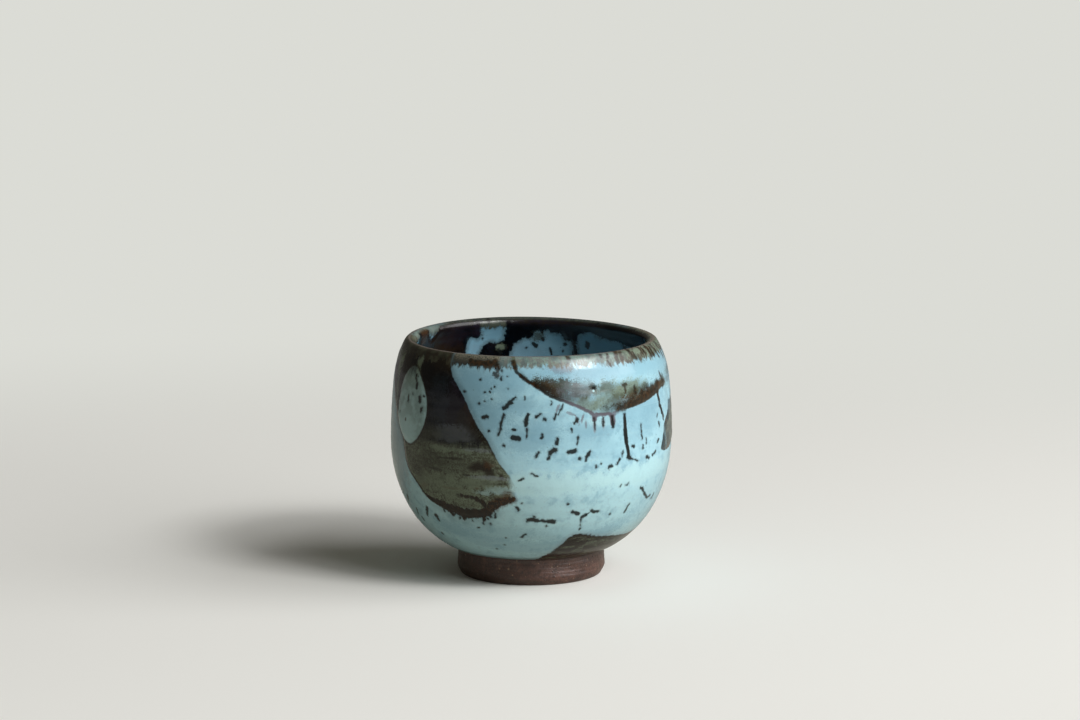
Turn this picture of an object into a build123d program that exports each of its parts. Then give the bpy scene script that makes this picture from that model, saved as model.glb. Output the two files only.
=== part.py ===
from build123d import *
import os
from math import acos, cos, pi, radians, sin

# A small wheel-thrown sake cup, millimetres, +Z up.
# The origin is the centre of the foot's resting face, and the front faces -Y.
# A bearing is an angle in degrees round the cup from the front, positive to the right.

# Bowl: tangent arcs up the outer wall, from the foot to the lip
widest_radius = 32.5
root_radius = 17.6
haunch_arc_radius = 22.0
belly_arc_radius = 31.8
flank_arc_radius = 143.0
shoulder_arc_radius = 25.0
belly_turn = 29.8
flank_turn = 5.7
shoulder_turn = 21.3
wall_thickness = 2.9
floor_thickness = 4.7

# Trimming cuts: the wall is turned in short straight passes whose ends lie on the arcs
haunch_cuts = 2
outer_belly_cuts = 2
outer_shoulder_cuts = 1
inner_shoulder_cuts = 1
inner_belly_cuts = 1
well_cuts = 2
flank_cuts = 1
outer_crown_cuts = 1
inner_crown_cuts = 2

# Foot ring
foot_height = 6.2
foot_ledge = 0.7
foot_flare = 0.25
foot_ring_width = 4.4
foot_recess_draft = 0.5
foot_chamfer_height = 1.5
foot_chamfer_width = 1.1

# Glaze poured over the base glaze
iron_thickness = 0.35
splash_thickness = 0.25
drip_reach = 10.0

# Each pour hangs from the lip: an edge down, a sagging hem and an edge back up.
# Points are shares of the widest radius across and of the lip's height up.
# Drips are a place along the hem, then reach and width as shares of the drip's reach.

# Left pour: a dark wedge at the left of the front
left_bearing = -48.0
left_down_shares = [
    (0.15, 1.04), (0.21, 0.94), (0.38, 0.774),
    (0.51, 0.662), (0.632, 0.518), (0.65, 0.42),
]
left_hem_shares = [(0.65, 0.42), (0.471, 0.357), (0.30, 0.323), (0.137, 0.339), (-0.06, 0.385)]
left_up_shares = [(-0.06, 0.385), (-0.25, 0.46), (-0.37, 0.58), (-0.49, 0.74), (-0.62, 1.04)]
left_drip_shares = [(0.33, 0.30, 0.18), (0.60, 0.26, 0.24)]

# Right pour: a thin swag under the lip with long runs
right_bearing = 40.0
right_down_shares = [(-0.69, 1.04), (-0.665, 0.95), (-0.642, 0.908)]
right_hem_shares = [
    (-0.642, 0.908), (-0.486, 0.823), (-0.265, 0.769),
    (-0.041, 0.762), (0.30, 0.79), (0.60, 0.82),
]
right_up_shares = [(0.60, 0.82), (0.72, 0.90), (0.79, 1.04)]
right_drip_shares = [(0.50, 0.40, 0.14), (0.585, 1.08, 0.16), (0.70, 0.74, 0.14)]

# Inner pour: a dark swag on the far inside wall
inner_bearing = 180.0
inner_down_shares = [(-0.62, 1.04), (-0.60, 0.90)]
inner_hem_shares = [(-0.60, 0.90), (-0.36, 0.88), (-0.05, 0.90), (0.28, 0.87), (0.60, 0.90)]
inner_up_shares = [(0.60, 0.90), (0.62, 1.04)]
inner_drip_shares = [(0.30, 0.55, 0.30), (0.70, 0.80, 0.36)]

# Splash: a pale oval that lies on the left pour, tilted with its edge
splash_place_share = (-0.16, 0.755)
splash_half_width_share = 0.115
splash_half_height_share = 0.145
splash_tilt = -14.0

overrun = 5.0


def polar(centre, radius, angle):
    """Point of a circle in the profile plane, as radius from the axis and height."""
    return (centre[0] + radius * cos(angle), centre[1] + radius * sin(angle))


def cut_points(centre, radius, start, finish, cuts):
    """Start of each straight cut along an arc; the arc's end is the next arc's start."""
    step = (finish - start) / cuts
    return [polar(centre, radius, start + step * cut) for cut in range(cuts)]


# Centres of the tangent arcs, each worked out from its neighbour
belly_angle = radians(belly_turn)
flank_angle = radians(flank_turn)
lip_angle = flank_angle + radians(shoulder_turn)
belly_offset = widest_radius - belly_arc_radius
haunch_offset = belly_offset + (belly_arc_radius - haunch_arc_radius) * cos(belly_angle)
haunch_drop = (belly_arc_radius - haunch_arc_radius) * sin(belly_angle)
root_angle = acos((root_radius - haunch_offset) / haunch_arc_radius)
widest_height = foot_height + haunch_drop + haunch_arc_radius * sin(root_angle)

belly_centre = (belly_offset, widest_height)
haunch_centre = (haunch_offset, widest_height - haunch_drop)
flank_centre = (widest_radius - flank_arc_radius, widest_height)
shoulder_centre = polar(flank_centre, flank_arc_radius - shoulder_arc_radius, flank_angle)
lip_round = wall_thickness / 2
lip_centre = polar(shoulder_centre, shoulder_arc_radius - lip_round, lip_angle)
lip_height = lip_centre[1] + lip_round

# The inside rounds into its floor on one more arc, the well
floor_height = foot_height + floor_thickness
inner_belly_radius = belly_arc_radius - wall_thickness
well_span = widest_height - floor_height - inner_belly_radius * sin(belly_angle)
well_arc_radius = well_span / (1 - sin(belly_angle))
well_centre = polar(belly_centre, inner_belly_radius - well_arc_radius, -belly_angle)


def outer_line(proud=0.0):
    """Outer wall from the foot to the lip's crown, a distance proud of the base glaze."""
    points = cut_points(haunch_centre, haunch_arc_radius + proud, -root_angle, -belly_angle, haunch_cuts)
    points += cut_points(belly_centre, belly_arc_radius + proud, -belly_angle, 0.0, outer_belly_cuts)
    points += cut_points(flank_centre, flank_arc_radius + proud, 0.0, flank_angle, flank_cuts)
    radius = shoulder_arc_radius + proud
    points += cut_points(shoulder_centre, radius, flank_angle, lip_angle, outer_shoulder_cuts)
    points += cut_points(lip_centre, lip_round + proud, lip_angle, pi / 2, outer_crown_cuts)
    points.append(polar(lip_centre, lip_round + proud, pi / 2))
    return points


def inner_line(proud=0.0):
    """Inner wall from the lip's crown to the floor, a distance proud of the base glaze."""
    inset = wall_thickness + proud
    points = cut_points(lip_centre, lip_round + proud, pi / 2, pi + lip_angle, inner_crown_cuts)
    radius = shoulder_arc_radius - inset
    points += cut_points(shoulder_centre, radius, lip_angle, flank_angle, inner_shoulder_cuts)
    points += cut_points(flank_centre, flank_arc_radius - inset, flank_angle, 0.0, flank_cuts)
    points += cut_points(belly_centre, belly_arc_radius - inset, 0.0, -belly_angle, inner_belly_cuts)
    points += cut_points(well_centre, well_arc_radius - proud, -belly_angle, -pi / 2, well_cuts)
    points.append(polar(well_centre, well_arc_radius - proud, -pi / 2))
    return points


def turned(points):
    """Solid of revolution of a closed profile, with its seam at the back of the cup."""
    profile = make_face(Plane.XZ * Polyline(*points, close=True))
    return Rot(Z=90) * revolve(profile, Axis.Z)


def coat(line, under, over):
    """Shell of revolution between two distances proud of the base glaze."""
    return turned(line(over) + line(under)[::-1])


def bearing_plane(bearing):
    """Upright plane through the axis whose normal looks out at a bearing."""
    angle = radians(bearing)
    return Plane(origin=(0, 0, 0), x_dir=(cos(angle), sin(angle), 0), z_dir=(sin(angle), -cos(angle), 0))


def through_wall(outline, bearing):
    """Prism of an outline from the axis out through the wall at a bearing."""
    return extrude(bearing_plane(bearing) * outline, widest_radius + overrun)


def wall_spline(shares):
    """Smooth edge through shares of the widest radius across and the lip's height up."""
    return Spline(*[(across * widest_radius, up * lip_height) for across, up in shares])


def drip(top, reach, width):
    """Round-ended run that hangs straight down from a point of a hem."""
    run = Pos(top.X, top.Y + (width - reach) / 2) * Rectangle(width, reach + width)
    return run + Pos(top.X, top.Y - reach) * Circle(width / 2)


def pour_outline(down_shares, hem_shares, up_shares, drip_shares):
    """Face of a pour with its drips, closed above the lip."""
    down, hem, up = wall_spline(down_shares), wall_spline(hem_shares), wall_spline(up_shares)
    closing = Line(up @ 1, down @ 0)
    outline = make_face([down.edge(), hem.edge(), up.edge(), closing.edge()])
    for along, reach, width in drip_shares:
        outline += drip(hem @ along, reach * drip_reach, width * drip_reach)
    return outline


def make_bowl():
    """Thrown bowl under its base glaze, with a flat landing for the foot ring."""
    return turned([(0.0, foot_height)] + outer_line() + inner_line()[1:] + [(0.0, floor_height)])


def make_foot_ring():
    """Trimmed foot ring, hollow inside and chamfered where it rests."""
    top_radius = root_radius - foot_ledge
    flared_radius = top_radius + foot_flare
    recess_radius = top_radius - foot_ring_width
    return turned([
        (recess_radius, foot_height),
        (top_radius, foot_height),
        (flared_radius, foot_chamfer_height),
        (flared_radius - foot_chamfer_width, 0.0),
        (recess_radius + foot_recess_draft, 0.0),
    ])


def make_left_pour():
    outline = pour_outline(left_down_shares, left_hem_shares, left_up_shares, left_drip_shares)
    return coat(outer_line, 0.0, iron_thickness) & through_wall(outline, left_bearing)


def make_right_pour():
    outline = pour_outline(right_down_shares, right_hem_shares, right_up_shares, right_drip_shares)
    return coat(outer_line, 0.0, iron_thickness) & through_wall(outline, right_bearing)


def make_inner_pour():
    outline = pour_outline(inner_down_shares, inner_hem_shares, inner_up_shares, inner_drip_shares)
    return coat(inner_line, 0.0, iron_thickness) & through_wall(outline, inner_bearing)


def make_splash():
    across, up = splash_place_share
    oval = Ellipse(splash_half_width_share * lip_height, splash_half_height_share * lip_height)
    outline = Pos(across * widest_radius, up * lip_height) * Rot(Z=splash_tilt) * oval
    layer = coat(outer_line, iron_thickness, iron_thickness + splash_thickness)
    return layer & through_wall(outline, left_bearing)


makers = {
    "bowl": make_bowl,
    "foot_ring": make_foot_ring,
    "left_iron_pour": make_left_pour,
    "right_iron_pour": make_right_pour,
    "inner_iron_pour": make_inner_pour,
    "pale_splash": make_splash,
}

os.makedirs("parts", exist_ok=True)
for node, maker in makers.items():
    export_step(maker(), f"parts/{node}.step")
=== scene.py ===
import math
from types import SimpleNamespace

import bpy
import numpy as np
from bpy.props import FloatProperty, FloatVectorProperty, PointerProperty
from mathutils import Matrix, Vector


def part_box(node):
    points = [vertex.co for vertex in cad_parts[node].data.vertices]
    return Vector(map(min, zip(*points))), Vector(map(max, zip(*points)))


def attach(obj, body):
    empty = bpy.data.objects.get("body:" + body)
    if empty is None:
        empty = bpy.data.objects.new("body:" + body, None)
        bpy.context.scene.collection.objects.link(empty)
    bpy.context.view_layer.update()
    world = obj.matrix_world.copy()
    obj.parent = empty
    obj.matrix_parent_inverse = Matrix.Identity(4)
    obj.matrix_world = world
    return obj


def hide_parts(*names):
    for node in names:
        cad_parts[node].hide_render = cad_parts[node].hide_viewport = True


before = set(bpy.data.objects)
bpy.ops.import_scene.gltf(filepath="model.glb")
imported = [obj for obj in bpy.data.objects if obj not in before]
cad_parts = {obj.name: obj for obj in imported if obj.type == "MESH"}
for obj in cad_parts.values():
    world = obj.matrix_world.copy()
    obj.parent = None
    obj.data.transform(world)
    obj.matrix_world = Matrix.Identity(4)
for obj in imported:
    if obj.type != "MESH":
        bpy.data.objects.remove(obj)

bl_info = {
    "name": "Guinomi Sake Cup",
    "version": (1, 0, 0),
    "blender": (4, 5, 0),
    "location": "3D View > Sidebar > Sake Cup",
    "description": "Dresses the packed frame of a small wheel-thrown sake cup in poured glazes",
    "category": "Object",
}

# Lengths in the working code are millimetres, and MM brings them to Blender's metres.
# A bearing is an angle in degrees round the cup from the front, positive to the right.
MM = 0.001
bowl_low, bowl_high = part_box("bowl")
foot_low, foot_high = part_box("foot_ring")

# Outlines are listed (bearing, height) points; heights above the lip lie over its crown.
LEFT_POUR = [
    (-39.5, 59.0), (-38.6, 56.0), (-37.5, 53.6), (-35.8, 51.5), (-34.2, 50.0), (-31.3, 48.2),
    (-27.7, 45.6), (-24.1, 41.9), (-20.7, 38.9), (-17.6, 36.7), (-14.4, 33.4), (-12.6, 31.5),
    (-9.5, 29.4), (-7.6, 27.6), (-6.4, 25.6), (-6.4, 23.4), (-7.0, 22.6), (-11.0, 21.8), (-15.4, 20.9),
    (-18.6, 18.9), (-23.7, 18.4), (-28.7, 17.9), (-35.0, 18.5), (-41.2, 19.3), (-47.6, 20.6),
    (-51.0, 22.0), (-55.8, 24.9), (-59.8, 27.1), (-62.0, 29.8), (-64.4, 34.3), (-71.0, 38.5), (-80.0, 45.0),
    (-90.0, 52.0), (-97.0, 57.0), (-100.0, 59.0),
]
# Middle of the hem's dark band, each point with the band's half width
LEFT_HEM = [
    (-52.0, 22.6, 0.15), (-50.0, 21.8, 0.3), (-47.0, 21.3, 0.55), (-43.5, 20.8, 0.8), (-40.3, 20.3, 1.0),
    (-37.2, 19.8, 1.05), (-34.3, 19.4, 1.15), (-31.1, 19.1, 1.25), (-27.9, 18.9, 1.35), (-23.3, 19.1, 1.2),
    (-20.4, 19.4, 1.1), (-18.2, 20.1, 1.15), (-16.0, 21.4, 1.2), (-13.2, 22.3, 1.0), (-9.9, 23.0, 0.75),
    (-7.0, 23.1, 0.35),
]
# A second dark line that leaves the band
LEFT_SEAM = [(-32.0, 23.4, 0.1), (-26.4, 23.2, 0.3), (-24.5, 23.1, 0.4), (-22.2, 22.6, 0.45), (-20.4, 22.1, 0.5),
             (-18.7, 21.2, 0.6)]
RIGHT_POUR = [
    (-8.8, 58.0), (-8.0, 55.0), (-6.7, 52.3), (-4.4, 51.2), (-2.1, 50.1), (2.2, 48.8),
    (6.4, 47.1), (11.5, 45.8), (14.1, 45.3), (19.3, 44.0), (23.8, 42.7), (26.6, 42.1),
    (29.4, 41.8), (33.4, 41.8), (38.7, 41.9), (41.6, 42.4), (47.7, 42.7), (54.7, 43.3),
    (60.7, 44.0), (66.0, 44.9), (72.9, 45.3), (78.0, 43.6), (77.5, 40.6), (74.5, 38.6), (70.2, 36.9),
    (69.0, 34.7), (67.0, 32.5), (66.6, 31.0), (73.0, 30.4), (84.0, 31.2),
    (95.0, 34.0), (107.0, 41.0), (116.0, 49.0), (122.0, 58.0),
]
INNER_POUR = [
    (257.0, 57.0), (255.0, 54.0), (253.0, 51.0), (250.0, 47.0), (246.0, 42.0), (238.0, 37.5), (228.0, 36.0),
    (218.0, 38.0), (214.5, 42.0), (213.0, 46.0), (212.4, 48.6), (212.0, 50.4), (210.1, 50.8), (207.1, 50.4),
    (205.5, 51.2), (206.9, 52.4), (206.5, 54.2), (200.6, 54.8), (193.4, 54.3), (192.9, 53.2), (193.0, 50.9),
    (194.5, 49.3), (197.5, 49.0), (200.3, 49.2), (203.7, 48.1), (205.5, 45.5), (202.0, 43.5), (196.0, 44.0),
    (191.5, 45.0), (190.1, 46.2), (189.5, 47.2), (187.9, 48.6), (185.4, 49.4), (183.3, 50.1), (181.2, 49.9),
    (179.4, 50.5), (178.0, 51.8), (175.8, 51.8), (174.4, 51.0), (173.2, 52.1), (171.6, 52.2), (169.8, 51.5),
    (167.1, 51.3), (164.8, 51.2), (163.7, 49.8), (161.4, 49.4), (158.4, 49.6), (157.3, 50.7), (155.1, 51.5),
    (149.5, 52.3), (145.7, 51.4), (139.4, 50.8), (133.4, 50.7), (126.0, 50.0), (118.0, 49.5), (108.0, 50.5),
    (100.0, 53.0), (95.0, 57.0), (230.5, 57.0), (232.0, 55.4), (234.4, 53.9), (236.7, 52.7), (238.6, 51.8),
    (242.3, 53.4), (243.2, 55.2), (243.8, 57.0),
]
SPLASH = [
    (-58.0, 51.0), (-55.0, 50.4), (-50.5, 47.8), (-47.8, 45.2), (-46.9, 43.0), (-47.1, 40.5),
    (-49.1, 37.5), (-52.6, 34.9), (-57.1, 33.4), (-61.7, 33.9), (-66.1, 35.7), (-68.8, 38.0),
    (-69.2, 41.1), (-68.2, 44.0), (-66.5, 47.0), (-63.6, 49.6), (-60.7, 50.8),
]
FOOT_PATCH = [
    (5.0, 6.9), (11.0, 8.8), (15.6, 11.2), (18.6, 12.9), (22.0, 13.9), (28.0, 13.6), (35.4, 12.7),
    (48.0, 12.0), (61.0, 11.3), (78.0, 11.0), (100.0, 10.2), (124.0, 8.2), (126.0, 5.0), (3.0, 5.0),
]

# Runs of the pours: bearing, height, width, then how far across and up each stretch goes
LEFT_RUNS = [(-31.0, 18.2, 1.0, (0.1, -0.9)), (-20.8, 19.0, 0.6, (-0.1, -1.8)), (-37.0, 18.6, 0.9, (0.2, -0.7))]
RIGHT_RUNS = [(26.3, 42.6, 0.8, (0.1, -1.6)), (34.6, 42.2, 1.0, (0.3, -2.6)),
              (41.0, 42.6, 0.9, (0.1, -4.8), (0.2, -2.4), (0.8, -3.6)), (64.5, 45.0, 0.9, (1.0, -3.6), (1.9, -3.0))]
INNER_RUNS = [(158.9, 50.8, 1.2, (0.0, -5.4), (0.3, -3.6)), (129.3, 51.4, 0.8, (0.0, -6.0)),
              (222.0, 38.0, 1.0, (0.1, -3.6)), (241.0, 40.0, 1.2, (0.1, -4.6))]

# Dark flecks in the glaze, listed in the same way; one with no stretch is a dot
FLECKS = [
    # between the left pour and the swag
    (-21.5, 50.1, .5), (-15, 48.8, .5), (-17, 47.5, .5), (-28.1, 47.2, .6), (-19.1, 47.5, .35), (-16.3, 48.3, .3),
    (-15.9, 45.9, .3), (-18.9, 45.4, .25), (-12.2, 52.1, .45), (-9.7, 51, .3), (-9.3, 48.4, .35), (-12.3, 50.9, .4, (0, -.6)),
    (-2.5, 46.7, .3, (0, -.5)), (-21.5, 44.8, .5), (-6, 46.5, .45, (-1.5, -1)), (-7.7, 45.2, .8, (-1.7, -1.1)),
    (-19.5, 41.7, .7, (.9, .3)), (-10.7, 42.6, .5, (-.7, -2.1), (-.1, -1.3), (-.5, -1.2)),
    (-1, 42.6, .75, (-.5, -1.1), (0, -1.1)), (-1.5, 39.6, .45, (0, -2)), (2.2, 42.2, .65, (.9, .4)),
    (5.6, 41.6, .6), (10, 42.6, .55, (-.3, -.9)), (13, 44.7, .3, (-1, -2.2)), (8.4, 45.5, .3, (0, -.7)),
    (-17, 38.8, .7), (-7.1, 39.3, .45, (.5, -.1)), (-7.1, 37.4, 1.1, (1.2, -.2)), (-10.8, 35.7, .65),
    (4.7, 38.3, .45, (-.1, -1)), (10.7, 37.1, .7, (-.3, -1)), (9.6, 34.7, 1.05, (-1, -.8)),
    (7.5, 33.7, .5, (-.3, -1.1)), (3.1, 34.1, .45, (-.6, -1)), (15.2, 33.9, .95, (1.5, .4)), (19.7, 32.4, .6),
    (24.3, 33.8, .8, (-.8, -1.1)), (22.6, 32.4, .45, (-.1, -.6)), (27, 30.2, .55), (29, 30.9, .4),
    (33, 29.7, .65, (.6, .2)), (38.1, 31.3, .4, (-.7, -1.1)), (39.6, 33, .3, (-.1, -1.1)), (45, 33.8, .7, (.4, -.1)),
    (51.3, 33.4, .55, (0, -.7)), (53.7, 30.5, .7, (.9, -.3)), (60.8, 31.2, .5, (-1.3, -.7)),
    (63.8, 33.7, .6, (-.7, -.4)), (53.7, 34.8, .3, (0, -1.1)), (19.1, 41.4, .5, (-.7, -.9)),
    (16.5, 39.1, .4, (0, -.5)), (19.2, 37.4, .4, (-.3, -1.7)),
    # runs under the swag
    (26.3, 41.2, .36, (.1, -2.5)), (30.5, 41.2, .45, (-.1, -1.6)), (34.6, 41.2, .6, (.3, -2.3)),
    (41, 41.2, .42, (.2, -3.6)), (41.2, 37.6, .8, (.2, -2.3)), (41.5, 35.3, .55, (.4, -1.8), (.4, -2)),
    (42.9, 31.5, 1.15, (.3, -.3)), (44.1, 31.1, .24, (2.5, -1.1)), (50.5, 38.2, .36, (.2, -3.2)),
    (64.3, 44, .42, (1, -3.1), (2, -3.3)), (63.2, 39.6, .36, (-.3, -.6)), (64.4, 37.7, .36, (.1, -1)),
    # across the belly
    (.2, 29.3, .36, (1.4, -.6)), (-4.9, 27.5, .36, (1.1, .6)), (39.4, 24.7, .32, (.2, .5)), (42.6, 24.8, .36, (.9, .3)),
    (52.2, 23.5, .64, (1.1, -.7)), (54.4, 22.8, .45, (1.6, -1.6), (1.8, -1.1), (1, .4)), (65.9, 19.7, .4, (.4, 1.1)),
    (47.1, 19.9, .45, (-.6, -2)), (36.9, 18.3, .45), (15.6, 21.8, .45), (18.3, 19.8, .86, (1.3, -.6)),
    (22.8, 18.3, .77, (.8, .5)), (24.5, 18.8, .28, (1.1, .8)), (26.7, 19.9, .55, (.5, -.5), (1.4, 0)),
    (22.6, 18.2, .24, (.2, -2.5)), (23.2, 15.3, .64), (-1.3, 17.9, .73, (.9, .3)), (.6, 18.2, 1.05, (1.1, -.2)),
    (1.5, 18.9, .5), (2.9, 17.9, .6, (2.4, -.3)), (7.8, 17.7, 1.05, (1.2, -.1)), (6.9, 16.5, .36),
    (-6, 21.2, .6, (.4, -.6)), (-3.6, 22.3, .4), (-2.6, 14.3, .5, (-.8, -.9)), (-11.9, 13.2, .36),
    (-14, 11.2, .36), (-19.6, 9.8, .36, (.2, -.1)),
    # under the rust hem and along the left side
    (-48, 17, .8, (.1, -1.3)), (-52.7, 18.8, .55, (-1.5, -2.7)), (-69.2, 19.8, .7, (-1.1, -1.1)),
    (-64.3, 17.1, .45, (-.7, -1.5)), (-63, 15.2, .45, (0, -.8)), (-51.8, 12, .55), (-73.2, 50.2, .65),
    (-21.4, 18.3, .36, (-.2, -2)), (-18.3, 16.7, .55), (-19.2, 18, .55), (-15.3, 19.3, .4, (-.2, -1)),
    (-24.7, 15.4, .45), (-33.2, 17.9, .3, (-.2, -.7)), (-26.9, 17.6, .3, (0, -.6)), (-17.8, 19, .6, (.1, -.6)),
    (-41, 19.4, .4, (0, -.8)),
    # in the splash
    (-59.6, 44.2, .45, (0, -1.3)), (-54.6, 48.4, .45, (.1, -.8)), (-51.2, 44.5, .9, (0, -.9)), (-49.5, 41.7, .6),
    (-56.3, 44.9, .36), (-55.3, 49.2, .6, (0, -.7)), (-54, 47.4, .6, (0, -.9)), (-48.9, 44.9, .4), (-49.5, 42.2, .5, (-.3, -1)),
    (-61, 38.6, .5), (-66.5, 40, .4), (-53.9, 48.9, .3),
]
# Flecks inside the cup
INNER_FLECKS = [
    (174.3, 49.8, .8), (177.7, 48.1, 1.0, (-.6, .5)), (163.8, 48.6, .8), (171.1, 47.5, .4, (.3, -1.4)), (152.2, 49.2, .9, (0, -.9)),
    (164.9, 47.0, .5), (191.9, 47.7, .8), (195.6, 47.2, .7, (.4, -.8)), (204.2, 50.2, .4), (182.5, 47.6, .4), (168, 45.2, .5),
    (185.5, 44.3, .5, (.2, -.7)), (150, 44.0, .5), (215, 33.0, .6, (.3, -.8)), (180, 37.0, .6), (160, 33.0, .5), (200, 38.5, .5),
    (120, 40.0, .6, (0, -1.2)), (90, 44.0, .5), (60, 42.0, .6, (.2, -.8)), (20, 45.0, .5), (-30, 41.0, .6), (-60, 44.0, .5),
]
# Brown streaks over the lip and at the top of the wall
STREAKS = [
    (42, 55.2, 1.0, (-.5, -1.7), (.1, -1.1)), (43.8, 54.8, .8, (0, -1.6)), (49.6, 55.1, 1.0, (.7, -1.9)), (51.6, 54.4, .7, (.6, -1.4)),
    (60.2, 54.9, .5, (.6, -1.5)), (64.3, 54.9, .9, (.7, -1.4), (.3, -.9)), (67.5, 54.5, .8, (.5, -1.6)), (72.7, 53.6, .6, (.6, -1.8)),
    (79.8, 53.3, .5, (.6, -2)), (84, 53.4, .7, (.6, -2)), (36.7, 55, .35, (-.3, -1)), (35.9, 53.4, .5, (.3, -1.1)),
    (32.8, 54.9, .45, (0, -.6)), (58.2, 55.1, .5, (.3, -1.6)), (92, 54, .8, (.5, -2.4)), (101, 54, 1.0, (.2, -2.8)),
    (16.7, 55.1, .8, (.2, -.7)), (-14.6, 53.4, .7, (.2, -1.2), (-.2, -.9)), (-15.4, 51.4, 1.0, (.6, -.3)),
    (-27.0, 53.9, 1.1, (.6, -.2), (2.0, -.1), (2.4, .1), (.8, .3)), (-7.8, 54.2, .9, (.5, -1.2)), (-4.2, 51.4, .5, (1.8, -1.3), (1.8, -1.4)),
    (41.2, 48.0, .6, (.8, 0)), (42, 47.8, .4, (0, -1.5)), (47.4, 47.1, .7, (.2, -1.4)), (71, 46.6, 1.0, (.2, -1)), (68.4, 48.8, .4, (.5, -1)),
    (64.6, 46.6, .8, (.2, -1.6)), (60.5, 46.4, .6, (.2, -1.6)), (56, 46.2, .6, (.1, -1.6)), (51.8, 46.0, .7, (.1, -1.6)),
    (53, 44.4, 1.3, (1.6, .2), (2, .2), (2, .2)), (44, 43.4, 1.2, (2, .2), (2.2, .3)), (38, 42.9, 1.0, (1.6, .1)),
]
PINHOLE = (26.4, 48.0)
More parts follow.
